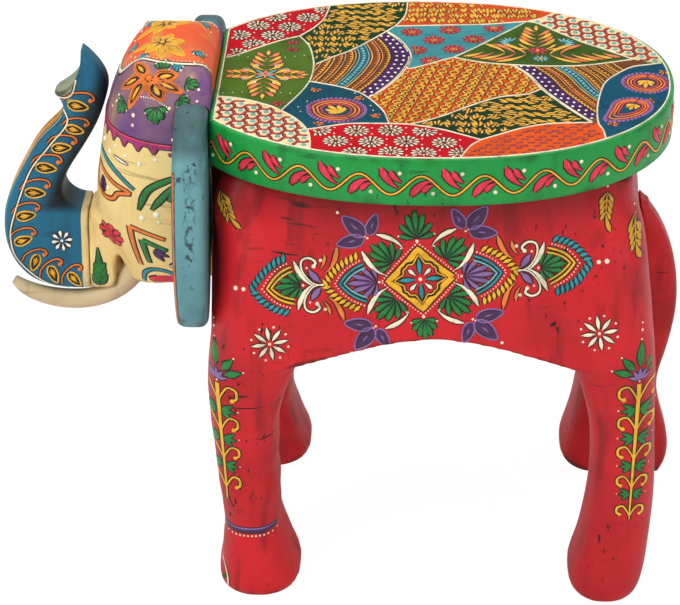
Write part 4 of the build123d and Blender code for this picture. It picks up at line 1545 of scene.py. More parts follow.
class RimArt:
    """The vine round the seat's edge, with a pair of commas in every bend."""

    PERIOD = 43.6
    SHIFT = 18.6
    HEIGHT = 7.3
    MIDDLE = 19.8
    # Each comma's root and turn from the bend's centre, its length, width and bend.
    ABOVE = ((5.6, -22.0, 156, 17.8, 6.2, -0.50), (7.8, -17.6, 156, 11.4, 4.8, -0.40))
    BELOW = ((6.6, -16.2, 182, 14.6, 6.2, 0.80), (8.6, -19.0, 184, 8.6, 4.6, 0.65))

    def build(self) -> None:
        """Draws the vine, its commas and dots."""
        canvas = Rim()
        brush = Brush("rim", canvas, "seat_paint")
        s = np.arange(2.0, canvas.length - 2.0, 1.4)
        turn = 2 * math.pi * (s - self.SHIFT) / self.PERIOD
        wave = SEAT.top - self.MIDDLE - self.HEIGHT * np.cos(turn)
        brush.line(Paint.YELLOW, np.column_stack([s, wave]), 1.7)
        first = self.SHIFT - self.PERIOD
        for i, centre in enumerate(np.arange(first, canvas.length, self.PERIOD / 2)):
            spot = Spot(centre, SEAT.top)
            for x, y, turn, length, width, bend in (self.BELOW if i % 2 else self.ABOVE):
                comma = spot.at(x, y, turn)
                leaf(brush, comma, Paint.CORAL, length, width, bend, Form.DROP, 0.7)
                glint = comma.at(length * 0.45, bend * length * 0.30, 12 * np.sign(bend))
                leaf(brush, glint, Paint.PINK, length * 0.42, width * 0.3, bend, Form.DROP, 0.95,
                     False)
            marks(brush, Paint.CREAM, spot, ((8.0, -25.6, 1.6) if i % 2 else (6.4, -10.6, 1.6),))
        brush.pieces()


# ---- body

BODY_NODES = ("front_left_leg", "front_right_leg", "rear_left_leg", "rear_right_leg",
              "chest_block", "belly_core", "rump_block", "left_flank", "right_flank")


class Body:
    """The red body with its four legs."""

    COAT = Coat("body_red", "ca1c24", "5c1012", "1c0c0a", wear=1.0, mottle=0.72, speck=1.35,
                roughness=0.46)
    # Height, front and rear of the front legs between foot and body, in millimetres.
    FRONT_LEG = ((54.0, -85.0, -40.0), (100.0, -89.5, -42.2), (140.0, -93.5, -41.5),
                 (168.0, -94.8, -34.5))
    FADE = 10.0
    SLICE = 2.0
    LEG_REAR = -20.0
    LEG_INNER = 47.0

    def build(self) -> None:
        """Makes the body's skin and paints both sides."""
        skin = Skin("painted_body", BODY_NODES, SkinSize(2.7, 5, 0.25), self._straightened)
        skin.dress(coat_material(self.COAT, self._ground))
        tail = Skin("painted_tail", ("tail",), SkinSize(1.6, 3, 0.2))
        tail.dress(coat_material(self.COAT))
        for side in (-1, 1):
            BodyArt(skin, side).build()

    @classmethod
    def _straightened(cls, verts: np.ndarray) -> np.ndarray:
        """Draws the front legs to even lines where they waver between foot and body."""
        rows = np.array(cls.FRONT_LEG)
        x, z = verts[:, 0] / MM, verts[:, 2] / MM
        leg = (x < cls.LEG_REAR) & (np.abs(verts[:, 1]) > cls.LEG_INNER * MM)
        slices = np.arange(rows[0, 0], rows[-1, 0] + cls.SLICE / 2, cls.SLICE)
        bands = [x[leg & (np.abs(z - height) < 1.5 * cls.SLICE)] for height in slices]
        span = leg & (z > rows[0, 0]) & (z < rows[-1, 0])
        low = np.interp(z[span], slices, [band.min() for band in bands])
        high = np.interp(z[span], slices, [band.max() for band in bands])
        front = np.interp(z[span], rows[:, 0], rows[:, 1])
        rear = np.interp(z[span], rows[:, 0], rows[:, 2])
        even = front + (x[span] - low) / (high - low) * (rear - front)
        ends = np.minimum(z[span] - rows[0, 0], rows[-1, 0] - z[span])
        fade = (ends / cls.FADE).clip(0.0, 1.0)
        result = verts.copy()
        result[span, 0] = (x[span] + (even - x[span]) * fade) * MM
        return result

    @staticmethod
    def _ground(nodes: Nodes) -> object:
        """Red, with painted shade deepening it under the seat's overhang."""
        height = nodes.place()[2]
        # painted shade: the red turns deep crimson towards the top of the body, where the seat's
        # overhang shades it
        under_seat_shade = nodes.product(nodes.band(height, 0.296, 0.332), 0.75)
        return nodes.mix(under_seat_shade, srgb(Body.COAT.colour), srgb("8c0210"))


class BodyArt:
    """The ornament on one side of the body."""

    CENTRE = (62.0, 271.0)
    TILT = 5.5
    HALF = 25.6
    SCALLOP = ((0, 8, 15, 22, 30, 38, 45, 52, 60, 68, 75, 82, 90),
               (20.6, 17.6, 15.4, 14.4, 15.6, 15.9, 15.2, 15.9, 15.6, 14.4, 15.4, 17.6, 20.6))

    def __init__(self, skin: Skin, side: int) -> None:
        self.brush = Brush(f"body_{side_name(side)}", Side(skin, side), "red_paint")

    def build(self) -> None:
        """Draws the medallion, its two wings, the small motifs and the leg vines."""
        centre = Spot(*self.CENTRE, self.TILT)
        self._medallion(centre)
        for sign in (-1, 1):
            self._wing(centre, sign)
        self._rosettes()
        self._leg_vine(Spot(-86.0, 188.0, -86.5), 106.0)
        self._leg_vine(Spot(222.0, 196.0, -91.0), 124.0)
        self._anklet(-96.0, -30.0, 53.0)
        self._toe_mark()
        self.brush.pieces()

    def _medallion(self, centre: Spot) -> None:
        brush = self.brush
        angle = np.linspace(0, 2 * math.pi, 97)
        outer = self.HALF / (np.abs(np.cos(angle)) + np.abs(np.sin(angle)))
        inner = np.interp(np.degrees(angle) % 90, *self.SCALLOP)
        way = np.column_stack([np.cos(angle), np.sin(angle)])
        band = way * ((outer + inner) / 2)[:, None]
        brush.stroke(Paint.YELLOW, centre.out(band), (outer - inner) / 2, 0.7)
        brush.line(Paint.YELLOW, centre.out(way * (inner - 1.9)[:, None]), 1.2)
        bead_row(brush, centre.out(way * (outer + 2.4)[:, None]), Paint.CREAM, 0.62, 2.4)
        drops(brush, centre, Paint.TEAL, 4, 11.8, 3.8, root=3.8, form=Form.PETAL)
        drops(brush, centre.at(0, 0, 45), Paint.CREAM, 4, 7.0, 3.4, root=4.0, form=Form.DROP)
        brush.dot(Paint.CREAM, centre.u, centre.v, 1.5)
        for turn, length in ((90, 22.0), (270, 16.0)):
            arm = centre.at(0, 0, turn)
            palmette(brush, arm.at(self.HALF + 5.5, 0), Paint.GREEN, length, tips=Paint.CREAM)
            marks(brush, Paint.CREAM, arm, ((self.HALF + 3.6, 0, 1.3),))
        for across, up in ((1, 1), (1, -1), (-1, 1), (-1, -1)):
            quarter = centre.at(0, 0, 0 if across > 0 else 180, 1.0, (across > 0) != (up > 0))
            palmette(brush, quarter.at(18.5, 14.0, 45), Paint.GREEN, 21, tips=Paint.CREAM)
            leaf(brush, quarter.at(10.2, 24.5, 62), Paint.CREAM, 19, 4.0, -0.55, Form.DROP, 0.6)
            leaf(brush, quarter.at(24.5, 5.0, 20), Paint.CREAM, 21, 4.4, 0.60, Form.DROP, 0.6)
            self._triplet(quarter.at(35.0, 34.0))

    def _triplet(self, spot: Spot) -> None:
        """Three outlined leaves that meet at a dot."""
        for turn, length, width in ((46, 21, 11), (114, 17, 8), (-10, 20, 9.5)):
            bud(self.brush, spot.at(0, 0, turn).at(2.5, 0), Paint.PURPLE, Paint.LILAC, length,
                width)
        marks(self.brush, Paint.CREAM, spot, ((0, 0, 1.0), (1.8, 1.2, 0.7), (19.5, 20.0, 1.3)))

    def _wing(self, centre: Spot, sign: int) -> None:
        brush = self.brush
        arm = centre.at(0, 0, 0 if sign > 0 else 180)
        for tip, end, half, inner, wide, pale, leaf_paint, root, size in (
                (69.0, 43.5, 21.0, Paint.TEAL, Paint.YELLOW, Paint.AQUA, Paint.LILAC, 31.0, 21.0),
                (121.5, 96.0, 20.0, Paint.YELLOW, Paint.TEAL, Paint.AQUA, Paint.GREEN, 86.0, 18.5)):
            rope(brush, chevron(arm, tip, end, half), wide, 5.2, 3.9, 58.0)
            bead_row(brush, chevron(arm, tip - 7.6, end - 2.0, half - 3.6), Paint.CREAM, 0.62, 2.5)
            brush.line(inner, chevron(arm, tip - 11.0, end - 4.5, half - 6.2), 1.9)
            brush.line(pale if inner is Paint.TEAL else inner,
                       chevron(arm, tip - 14.2, end - 5.0, half - 9.4), 1.6)
            palmette(brush, arm.at(root, 0), leaf_paint, size, 3, 4.2, 86, Paint.CREAM)
            marks(brush, Paint.CREAM, arm, ((root - 1.6, 0, 1.0),))
        for up in (-1, 1):
            half = arm.at(0, 0, 0, 1.0, up < 0)
            leaf(brush, half.at(67.5, 9.0, 150), Paint.ORANGE, 18.5, 4.2, -0.62, Form.DROP, 0.6)
            leaf(brush, half.at(71.0, 12.0, 138), Paint.ORANGE, 10.5, 3.0, -0.50, Form.DROP)
            curl = smooth_path(((70.4, -0.6), (78.0, 2.0), (84.0, 10.5), (84.0, 18.0), (78.6, 20.4),
                                (73.8, 17.4), (75.4, 14.2)), 1.4)
            brush.stroke(Paint.CREAM, half.out(curl), np.linspace(0.5, 1.15, len(curl)))
            leaf(brush, half.at(76.6, -0.6, 24), Paint.CREAM, 19.5, 4.2, 0.60, Form.DROP, 0.6)
            leaf(brush, half.at(72.0, 2.2, 46), Paint.LILAC, 12.0, 5.2, 0.10, Form.PETAL)
            marks(brush, Paint.CREAM, half,
                  ((75.4, 14.2, 1.7), (70.0, 18.6, 1.4), (80.5, 13.0, 0.9)))
        marks(brush, Paint.CREAM, arm, ((127.5, 0, 1.7), (133.4, 0, 2.0), (70.0, 0, 0.9)))

    def _rosettes(self) -> None:
        for u, v in ((-46, 219), (191, 232)):
            spot = Spot(u, v, 10)
            drops(self.brush, spot, Paint.CREAM, 8, 10.2, 3.4, root=3.2, form=Form.PETAL)
            self.brush.dot(Paint.CREAM, u, v, 1.3)
            for turn in range(0, 360, 45):
                marks(self.brush, Paint.CREAM, spot.at(0, 0, turn + 22.5), ((13.6, 0, 1.0),))
        for u, v, turn in ((-84, 322, -62), (194, 330, -92), (215, 309, -88)):
            stem = Spot(u, v, turn)
            for i in range(4):
                for sign in (-1, 1):
                    leaf(self.brush, stem.at(2 + 4.4 * i, 0, sign * 47), Paint.GOLD,
                         9.0 - 0.9 * i, 3.0, -sign * 0.30, Form.DROP)
            leaf(self.brush, stem.at(2, 0), Paint.GOLD, 17, 1.4)
            leaf(self.brush, stem.at(17, 0, 8), Paint.GOLD, 11.5, 3.8, 0.2, Form.DROP)
            marks(self.brush, Paint.CREAM, stem, ((-2.5, 0, 1.0),))

    def _leg_vine(self, top: Spot, length: float) -> None:
        """A flower with leaves over a stem that carries hooks and leaves in turn."""
        brush = self.brush
        for turn, size in ((180, 24), (138, 19), (222, 19), (104, 19), (256, 19)):
            leaf(brush, top.at(0, 0, turn).at(6.5, 0), Paint.GREEN, size - 5, 6.4, lift=0.6)
            marks(brush, Paint.CREAM, top.at(0, 0, turn), ((size + 2.4, 0, 0.8),))
        drops(brush, top.at(3.0, 0, 180), Paint.LILAC, 5, 8.5, 3.0, reach=150)
        marks(brush, Paint.CREAM, top, ((4.6, 0, 0.9), (-33.0, 0, 1.2), (-38.0, 0, 0.9)))
        stem = straight(np.linspace(7, length, 30), 0.0)
        brush.stroke(Paint.YELLOW, top.out(stem), np.linspace(1.9, 0.7, 30))
        for i, x in enumerate(np.arange(20.0, length + 4.0, 25.5)):
            for sign in (-1, 1):
                hook = smooth_path(((6.0, 0.6), (0.0, 3.4), (-5.6, 8.0), (-3.6, 13.6), (2.6, 14.2),
                                    (5.2, 11.0)), 1.4)
                side = top.at(x - 6.0, 0, 0, 1.0 - 0.08 * i, sign < 0)
                brush.stroke(Paint.YELLOW, side.out(hook), np.linspace(0.6, 1.3, len(hook)))
                marks(brush, Paint.YELLOW, side, ((5.0, 10.8, 2.0),))
                if x + 13 > length:
                    continue
                blade = side.at(13.5, 2.0, 78)
                for turn in (-38, 0, 38):
                    leaf(brush, blade.at(0, 0, turn), Paint.GREEN, 10.5, 4.2, lift=0.6)
                marks(brush, Paint.CREAM, blade, ((12.0, 1.5, 0.7),))

    def _anklet(self, low: float, high: float, z: float) -> None:
        u = np.arange(low, high, 1.5)
        for dz, paint, width in ((4.6, Paint.LILAC, 1.8), (2.4, Paint.PURPLE, 2.6)):
            self.brush.line(paint, straight(u, z + dz), width)
        bead_row(self.brush, straight(u, z - 1.4), Paint.CREAM, 0.85, 3.0)

    def _toe_mark(self) -> None:
        """A small arc with a dot at the front foot's toe."""
        arc = smooth_path(((-86.0, 23.0), (-83.0, 20.0), (-80.8, 13.5), (-80.2, 5.0)), 1.2)
        self.brush.line(Paint.CREAM, arc, 1.3)
        self.brush.dot(Paint.GREEN, -83.6, 10.5, 2.4)


# ---- head

class Head:
    """The head with its painted bands and face."""

    COAT = Coat("face_cream", "ecd08a", "c79f58", "4a2c18", wear=0.6, mottle=0.6, speck=0.5,
                roughness=0.46)

    def build(self) -> None:
        """Makes the head's skin and paints it."""
        skin = Skin("painted_head", ("head_block",), SkinSize(1.9, 4, 0.2))
        skin.dress(coat_material(self.COAT, self._ground))
        for side in (-1, 1):
            HeadArt(skin, side).build()

    @staticmethod
    def _ground(nodes: Nodes) -> object:
        """Orange over the crown, then purple, then the cream face."""
        x, y, height = nodes.place()
        ragged = nodes.math("SUBTRACT", nodes.noise(60.0), 0.5)
        ragged = nodes.math("MULTIPLY", ragged, 0.003)
        purple = nodes.band(nodes.math("ADD", height, ragged), 0.3455, 0.3465)
        ahead = nodes.math("ABSOLUTE", nodes.math("ADD", x, -HeadArt.AXIS[0] * MM))
        aside = nodes.math("ABSOLUTE", y)
        parts = [nodes.math("POWER", nodes.math("DIVIDE", way, half * MM), HeadArt.FULLNESS)
                 for way, half in zip((ahead, aside), HeadArt.CAP)]
        inside = nodes.math("ADD", *parts)
        orange = nodes.product(nodes.band(inside, 1.02, 0.99), nodes.band(height, 0.355, 0.36))
        colour = nodes.mix(purple, srgb(Head.COAT.colour), srgb("5f3678"))
        return nodes.mix(orange, colour, srgb("e0480f"))


class HeadArt:
    """The ornament on one side of the head."""

    CAP = (71.0, 40.0)
    AXIS = (-91.0, 0.0)
    FULLNESS = 3.2

    def __init__(self, skin: Skin, side: int) -> None:
        self.face, self.muzzle, self.veil, self.cap, self.rim = (
            Brush(f"{name}_{side_name(side)}", canvas, "face_paint") for name, canvas in (
                ("face", Round(skin, self.AXIS, side)),
                ("muzzle", Side(skin, side)),
                ("veil", Facet(skin, (-136, -51, 389), (-0.30, -0.66, 0.69), side)),
                ("cap", Facet(skin, (-129, -18, 404), (-0.12, -0.22, 0.97), side)),
                ("cap_edge", Facet(skin, (0, 0, 400), (0.0, -0.001, 1.0), side))))

    def build(self) -> None:
        """Draws the cap, the veil with its hem, and the face."""
        self._cap()
        self._veil()
        self._eye()
        self._cheek()
        for brush in (self.face, self.muzzle, self.veil, self.cap, self.rim):
            brush.pieces()

    def _cap(self) -> None:
        t = np.radians(np.linspace(90, 180, 60))
        c, s = np.abs(np.cos(t)), np.abs(np.sin(t))
        reach = (c ** self.FULLNESS + s ** self.FULLNESS) ** (-1 / self.FULLNESS)
        edge = np.column_stack([self.AXIS[0] - self.CAP[0] * reach * c, -self.CAP[1] * reach * s])
        self.rim.line(Paint.CREAM, edge, 1.8)
        bead_row(self.rim, edge + (0.0, 2.6), Paint.WHITE, 0.5, 3.0)
        middle = Spot(0, 0)
        for turn, length in ((200, 20), (250, 13), (300, 15), (345, 20), (30, 13), (150, 13),
                             (90, 10)):
            bud(self.cap, middle.at(0, 0, turn).at(3, 0), Paint.GOLD, Paint.YELLOW, length, 7.5)
        for turn in (0, 60, 120, 180, 240, 300):
            leaf(self.cap, middle.at(0, 0, turn + 20).at(1, 0), Paint.PURPLE, 6, 2.6, lift=0.7)
        self.cap.dot(Paint.YELLOW, 0, 0, 2.2)
        for x, y, turn in ((-5, -16, 262), (22, -14, 285), (26, 4, 340), (-26, 2, 200)):
            palmette(self.cap, Spot(x, y, turn), Paint.TEAL, 7.5, 2, 2.6, 70, Paint.CREAM)
        marks(self.cap, Paint.CREAM, middle, ((8, -20, 1.1), (13, -16, 0.9), (32, -8, 1.0),
                                              (-14, -17, 1.0), (-22, -12, 0.9), (30, 10, 0.9)))

    def _veil(self) -> None:
        """The purple band: a flower, sprigs and dots over a toothed hem."""
        middle = Spot(0, 0)
        for turn, length, width in ((199, 23, 9), (245, 23, 9.5), (318, 18, 12), (352, 24, 8),
                                    (26, 17, 11), (148, 15, 9)):
            petal = middle.at(0, 0, turn).at(3.0, 0)
            bud(self.veil, petal, Paint.ORANGE, Paint.ORANGE, length, width, 1.4)
            bud(self.veil, petal.at(length * 0.14, 0), Paint.WASH, Paint.ORANGE, length * 0.74,
                width * 0.66, 0.9, 0.42)
            leaf(self.veil, petal.at(length * 0.24, 0), Paint.YELLOW, length * 0.52, width * 0.36,
                 form=Form.PETAL, lift=0.75, wash=False)
        self.veil.dot(Paint.ORANGE, 0, 0, 2.6)
        drops(self.veil, middle, Paint.YELLOW, 6, 2.6, 1.4, root=0.6)
        for x, y, turn in ((25, 4, 8), (25, -9, -20), (4, 9, 80)):
            palmette(self.veil, Spot(x, y, turn), Paint.GREEN, 10.5, 2, 3.2, 66, Paint.CREAM)
        string = smooth_path(((-1, -15.5), (8, -14.6), (15, -16.0), (20, -17.6)), 1.8)
        bead_row(self.veil, string, Paint.WHITE, 0.6, 1.8)
        marks(self.veil, Paint.CREAM, middle, ((21.5, -18, 1.5), (36, 2, 1.3), (38, -7, 1.2),
                                               (37, -14, 1.1), (-26, -13, 1.2), (18, 13, 1.1)))
        for u, z, turn in ((40, 371, 250), (63, 374, 280)):
            palmette(self.face, Spot(u, z, turn), Paint.GREEN, 11.5, 2, 4.0, 62, Paint.CREAM)
        marks(self.face, Paint.CREAM, middle, ((50, 364.5, 1.8), (50, 357.0, 1.6), (31, 366, 1.2),
                                               (27, 360, 1.2), (74, 352, 1.4), (77, 358, 1.6)))
        u = np.arange(0.0, 98.0, 1.5)
        for v in np.arange(5.0, 96.0, 9.6):
            leaf(self.face, Spot(v, 346.0, -90), Paint.MAGENTA, 9.0, 9.4, form=Form.TOOTH)
        self.face.line(Paint.MAGENTA, straight(u, 344.4), 3.4)
        self.face.line(Paint.PINK, straight(u, 346.4), 1.5, 0.8)

    def _eye(self) -> None:
        face = self.face
        brow = smooth_path(((13, 321), (24, 319), (36.5, 313), (48, 303.5)), 1.8)
        face.stroke(Paint.TEAL, brow, tapered(len(brow), (0, 1.7), (0.5, 2.0), (1, 1.0)), 0.6)
        lids = smooth_path(((13, 309.5), (22, 308), (33, 303.5), (45, 299.5), (37, 296.0),
                            (33, 290.0), (26, 288.0), (18, 291.5), (13, 298)), 1.6, True)
        face.stroke(Paint.ORANGE, lids, np.full(len(lids), 1.5), 0.6)
        leaf(face, Spot(23.5, 290.8, 92), Paint.PURPLE, 12, 9.5, form=Form.PETAL, lift=0.6)
        marks(face, Paint.WHITE, Spot(0, 0),
              ((28.5, 296.5, 1.6), (21.5, 331.5, 2.2), (30, 326.5, 2.0), (36, 334, 1.6),
               (53, 327, 1.8), (63, 333, 1.5), (44, 330, 1.5)))
        leaf(face, Spot(34, 325.5, -12), Paint.WHITE, 12, 2.6, form=Form.PETAL)

    def _cheek(self) -> None:
        face = self.face
        for path in (((83, 325), (68, 316), (56, 305), (49.5, 287)),
                     ((82, 320), (68, 306), (57, 289)), ((81, 318), (73, 308), (67.5, 298))):
            finger = smooth_path(path, 1.8)
            half = tapered(len(finger), (0, 0.9), (0.4, 2.2), (0.8, 2.0), (1, 0.6))
            face.stroke(Paint.GREEN, finger, half, 0.6)
        marks(face, Paint.WHITE, Spot(0, 0), ((59.5, 285.5, 2.5), (51, 281, 2.2), (60.5, 279, 1.5),
                                              (71, 293, 2.0), (71, 287, 1.6)))
        muzzle = self.muzzle
        drops(muzzle, Spot(-170.0, 255), Paint.CORAL, 8, 9.4, 5.2, root=1.0, form=Form.DROP)
        muzzle.dot(Paint.CORAL, -170.0, 255, 4.0)
        leaf(muzzle, Spot(-181.5, 205, 88), Paint.GREEN, 33, 7.0, 0.06, lift=0.6)
        for z, size in ((207, 11), (213, 9), (219, 8)):
            for sign in (-1, 1):
                leaf(muzzle, Spot(-181.0, z, 90 - sign * 42), Paint.GREEN, size, 4.8, sign * 0.2)
        for paint, apex, arm, leg, width in ((Paint.ORANGE, (42.5, 271), (63, 264), (42, 236), 1.8),
                                             (Paint.GREEN, (48.5, 261), (63, 254), (49, 240), 1.9)):
            for end in (arm, leg):
                side = smooth_path((apex, end), 1.8)
                face.stroke(paint, side, np.linspace(width, width * 0.75, len(side)), 0.6)
        for turn in (-58, -20, 18):
            leaf(face, Spot(54, 252, turn), Paint.PURPLE, 10, 4.2, lift=0.6)
        for turn in (-30, -8, 14, 36):
            leaf(face, Spot(62, 240, turn), Paint.WHITE if turn % 4 == 2 else Paint.PURPLE, 12, 2.2)
        arch = smooth_path(((38.5, 219.5), (42, 228), (49, 233.5), (58, 234), (67, 230.5),
                            (74, 230)), 1.6)
        face.stroke(Paint.TEAL, arch, np.full(len(arch), 1.3), 0.6)
        disc = np.column_stack([np.linspace(43.5, 70, 15), np.linspace(223.0, 229.0, 15)])
        round_off = np.sqrt(np.sin(np.linspace(0.05, math.pi - 0.05, 15)))
        face.stroke(Paint.CORAL, disc, 3.9 * round_off, 0.35)


# ---- trunk, ears

class Trunk:
    """The raised blue trunk."""

    COAT = Coat("trunk_blue", "1b6583", "124a5e", "141c1e", wear=0.7, mottle=0.8, speck=0.6)

    def build(self) -> None:
        """Makes the trunk's skin and paints it."""
        skin = Skin("painted_trunk", ("trunk",), SkinSize(1.5, 3, 0.15))
        skin.dress(coat_material(self.COAT, self._ground))
        for side in (-1, 1):
            TrunkArt(skin, side).build()

    @staticmethod
    def _ground(nodes: Nodes) -> object:
        """Blue, with painted shade darkening the inside of the curve, and cream where it meets the
        face.
        """
        x, _, height = nodes.place()
        # painted shade: the inside of the trunk's curve, next to the head, is darkened to near
        # black
        inner = nodes.math("SUBTRACT", x, nodes.math("MULTIPLY", height, 0.44))
        shade = nodes.band(nodes.math("ADD", inner, 0.3400), -0.010, 0.006)
        shade = nodes.product(shade, nodes.band(height, 0.262, 0.272))
        colour = nodes.mix(shade, srgb(Trunk.COAT.colour), srgb("151d20"))
        front = nodes.product(nodes.band(nodes.place("Normal")[0], -0.80, -0.90), 0.8)
        colour = nodes.mix(front, colour, srgb("3f8f86"))
        lean = nodes.math("ADD", x, nodes.math("MULTIPLY", height, -0.22))
        tip = nodes.product(nodes.band(lean, -0.2760, -0.2772), nodes.band(height, 0.352, 0.355))
        colour = nodes.mix(tip, colour, srgb("8b9070"))
        root = nodes.product(nodes.band(x, -0.1945, -0.1940), nodes.band(height, 0.275, 0.270))
        return nodes.mix(root, colour, srgb(Head.COAT.colour))


class TrunkArt:
    """The border, leaves and hooks on one side of the trunk."""

    BORDER = ((-190.5, 392), (-193, 378), (-198, 358.5), (-211, 353.5), (-201.5, 338), (-216, 318),
              (-231.5, 297), (-245, 261), (-248, 243), (-243, 226), (-222.5, 207.5), (-205, 202.5),
              (-194, 201.5))
    # Each leaf's middle, the way its tip points, how far its hook is turned, and its scale.
    LEAVES = ((-193.5, 350, -10, 0, 1.0), (-196.5, 331.5, -15, 0, 0.86), (-207, 317, 4, 0, 0.95),
              (-219, 301, -6, 2, 1.0), (-228, 281, -3, 6, 1.0), (-235.5, 262.5, 10, 10, 0.95),
              (-238.5, 242.5, 20, 12, 0.9), (-230, 225, 250, 18, 0.9),
              (-216.5, 215.5, 290, 34, 0.95), (-200.5, 211.5, 308, 40, 0.9))

    def __init__(self, skin: Skin, side: int) -> None:
        self.side = Brush(f"trunk_{side_name(side)}", Side(skin, side), "trunk_paint")
        ahead = Facet(skin, (-300, 0, 270), (-1.0, -0.001, 0.0), side)
        self.front = Brush(f"trunk_front_{side_name(side)}", ahead, "trunk_paint")

    def build(self) -> None:
        """Draws one side and half of the front."""
        brush = self.side
        brush.line(Paint.CREAM, smooth_path(self.BORDER, 1.6), 1.4)
        hook = smooth_path(((-11, 3.5), (-6, 8.6), (2.5, 10.6), (10, 9.2), (12.4, 5.2),
                            (9.6, 3.2)), 1.4)
        for x, z, tip, turn, size in self.LEAVES:
            blade = Spot(x, z, tip, size).at(-7.6, 0)
            bud(brush, blade, Paint.WASH, Paint.YELLOW, 15.5, 7.6, 1.5)
            leaf(brush, blade.at(2.2, 0), Paint.YELLOW, 9.6, 2.6, lift=0.7, wash=False)
            for sign in (-1, 1):
                leaf(brush, blade.at(3.2, sign * 1.9, -sign * 8), Paint.GOLD, 6.4, 1.5, lift=0.6,
                     wash=False)
            over = Spot(x, z, turn, size)
            brush.stroke(Paint.ORANGE, over.out(hook), np.linspace(0.5, 0.95, len(hook)))
            marks(brush, Paint.ORANGE, over, ((9.6, 4.2, 1.9),))
        drops(brush, Spot(-209, 243, 10), Paint.WHITE, 8, 5.4, 3.0, root=2.6, form=Form.DROP)
        brush.dot(Paint.WHITE, -209, 243, 1.2)
        v = np.arange(-46.0, 72.0, 1.8)
        for u, paint, width in ((-10.5, Paint.AQUA, 1.6), (-6.0, Paint.ORANGE, 2.6),
                                (-1.5, Paint.YELLOW, 1.4)):
            self.front.line(paint, straight(u, v), width)
        for piece in (brush, self.front):
            piece.pieces()


class Ears:
    """The two board ears."""

    COAT = Coat("ear_blue", "64989d", "46787f", "22201d", wear=0.85, mottle=0.8, speck=1.0)

    def build(self) -> None:
        """Makes both ears, each with a thin line down its front edge."""
        for side in (-1, 1):
            word = side_name(side)
            skin = Skin(f"painted_{word}_ear", (f"{word}_ear",), SkinSize(1.8, 3, 0.2))
            skin.dress(coat_material(self.COAT, self._ground))
            brush = Brush(f"ear_{word}", Side(skin, side), "ear_paint")
            z = np.arange(214.0, 350.0, 2.0)
            brush.line(Paint.ORANGE, straight(-113.6, z), 0.9)
            brush.pieces()

    @staticmethod
    def _ground(nodes: Nodes) -> object:
        """Light blue, rubbed through in small marks down the middle and at the top."""
        x, _, height = nodes.place()
        off_line = nodes.math("ABSOLUTE", nodes.math("ADD", x, 0.102))
        middle = nodes.math("SUBTRACT", 1.0, nodes.band(off_line, 0.001, 0.007))
        grain = nodes.band(nodes.noise(260.0, 3.0, (1.0, 1.0, 0.7), 5.0), 0.50, 0.60)
        cloud = nodes.band(nodes.noise(34.0, 2.0, (1.0, 1.0, 0.5), 9.0), 0.46, 0.60)
        top = nodes.product(nodes.band(height, 0.352, 0.364), 0.7)
        marked = nodes.math("MAXIMUM", nodes.product(middle, grain, cloud), top)
        return nodes.mix(marked, srgb(Ears.COAT.colour), srgb(Ears.COAT.worn))


class Tusks:
    """The two tusks."""

    COAT = Coat("tusk_bone", "d2bd95", "a98a62", "5a4430", wear=0.4, mottle=0.6, speck=0.4)

    def build(self) -> None:
        """Makes both tusks."""
        for word in ("left", "right"):
            skin = Skin(f"painted_{word}_tusk", (f"{word}_tusk",), SkinSize(1.2, 2, 0.1))
            skin.dress(coat_material(self.COAT))


class Dowels:
    """The hidden dowels keep their CAD solids and get bare wood."""

    NODES = ("seat_dowels", "body_dowels", "neck_dowels", "trunk_dowel", "ear_dowels")

    def build(self) -> None:
        """Gives every dowel its material."""
        coat = Coat("bare_wood", "b58a5a", "8a6238", "6b4526", wear=0.0, mottle=0.8, speck=0.1,
                    roughness=0.7)
        material = coat_material(coat)
        for node in self.NODES:
            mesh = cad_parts[node].data
            mesh.materials.clear()
            mesh.materials.append(material)


# ---- setting

@dataclass(frozen=True)
class View:
    """The camera, in metres and degrees."""

    target: tuple[float, float, float] = (0.0, 0.0, 0.1842)
    distance: float = 2.2
    elevation: float = 28.0
    yaw: float = 2.0
    lens: float = 151.4
    shift_y: float = -0.0053
    width: int = 680
    height: int = 605


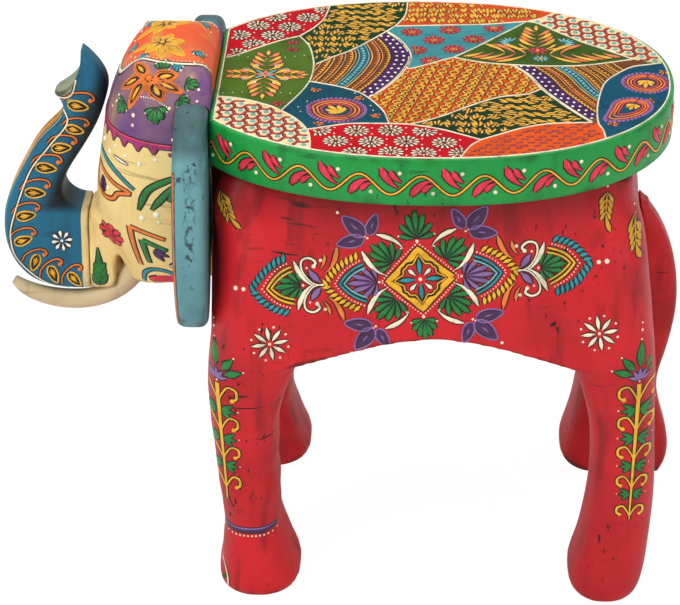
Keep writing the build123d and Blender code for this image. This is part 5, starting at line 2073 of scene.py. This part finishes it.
class Setting:
    """The floor, the lights, the world and the camera."""

    VIEW = View()
    FLOOR_REACH = 6.0
    FLOOR_GAP = 0.0002

    def build(self) -> None:
        """Sets everything that isn't the stool."""
        self._floor()
        self._world()
        self._lamp("key", (-1.1, -1.3, 1.9), 1.1, 26.0)
        self._lamp("fill", (1.6, -1.5, 1.1), 1.4, 9.0)
        self._lamp("top", (0.1, 0.6, 2.2), 1.6, 16.0)
        self._camera()
        scene = bpy.context.scene
        scene.view_settings.view_transform = "Standard"

    def _floor(self) -> None:
        material = bpy.data.materials.new("floor")
        nodes = Nodes(material)
        path = nodes.add("ShaderNodeLightPath")
        shader = nodes.add("ShaderNodeBsdfDiffuse", {"Color": (0.86, 0.86, 0.86, 1.0)})
        glow = nodes.add("ShaderNodeEmission", {"Color": WHITE, "Strength": 1.08})
        seen = nodes.math("MULTIPLY", path.outputs["Is Camera Ray"], 0.88)
        mixed = nodes.add("ShaderNodeMixShader", {0: seen, 1: shader.outputs[0],
                                                  2: glow.outputs[0]})
        nodes.add("ShaderNodeOutputMaterial", {"Surface": mixed.outputs[0]})
        far = self.FLOOR_REACH
        verts = np.array([(-far, -far, 0), (far, -far, 0), (far, far, 0), (-far, far, 0)])
        floor = solid_object("floor", verts - (0, 0, self.FLOOR_GAP), [(0, 1, 2, 3)],
                             material, False)

    def _world(self) -> None:
        world = bpy.data.worlds.new("studio")
        bpy.context.scene.world = world
        nodes = Nodes(world)
        path = nodes.add("ShaderNodeLightPath")
        dim, bright = (nodes.add("ShaderNodeBackground", {"Color": WHITE, "Strength": strength})
                       for strength in (0.62, 1.0))
        mixed = nodes.add("ShaderNodeMixShader", {0: path.outputs["Is Camera Ray"],
                                                  1: dim.outputs[0], 2: bright.outputs[0]})
        nodes.add("ShaderNodeOutputWorld", {"Surface": mixed.outputs[0]})

    @staticmethod
    def _lamp(name: str, place: tuple[float, float, float], size: float, power: float) -> None:
        light = bpy.data.lights.new(name, "AREA")
        light.shape = "SQUARE"
        light.size = size
        light.energy = power
        lamp = placed(name, light)
        lamp.location = place
        way = Vector((0.0, 0.0, 0.2)) - Vector(place)
        lamp.rotation_euler = way.to_track_quat("-Z", "Y").to_euler()

    def _camera(self) -> None:
        view = self.VIEW
        up, turn = math.radians(view.elevation), math.radians(view.yaw)
        way = Vector((-math.sin(turn) * math.cos(up), math.cos(turn) * math.cos(up), -math.sin(up)))
        data = bpy.data.cameras.new("camera")
        data.lens = view.lens
        data.sensor_width = 36.0
        data.shift_y = view.shift_y
        camera = placed("camera", data)
        camera.location = Vector(view.target) - way * view.distance
        camera.rotation_euler = way.to_track_quat("-Z", "Y").to_euler()
        scene = bpy.context.scene
        scene.camera = camera
        scene.render.resolution_x = view.width
        scene.render.resolution_y = view.height


# ---- everything


def main() -> None:
    """Builds the scene."""
    logging.basicConfig(level=logging.INFO, format="%(name)s: %(message)s")
    for part in (Body(), Head(), Trunk(), Ears(), Tusks(), Dowels(), Seat(), Setting()):
        part.build()
        LOG.info("%s done", type(part).__name__)


if __name__ == "__main__":
    main()
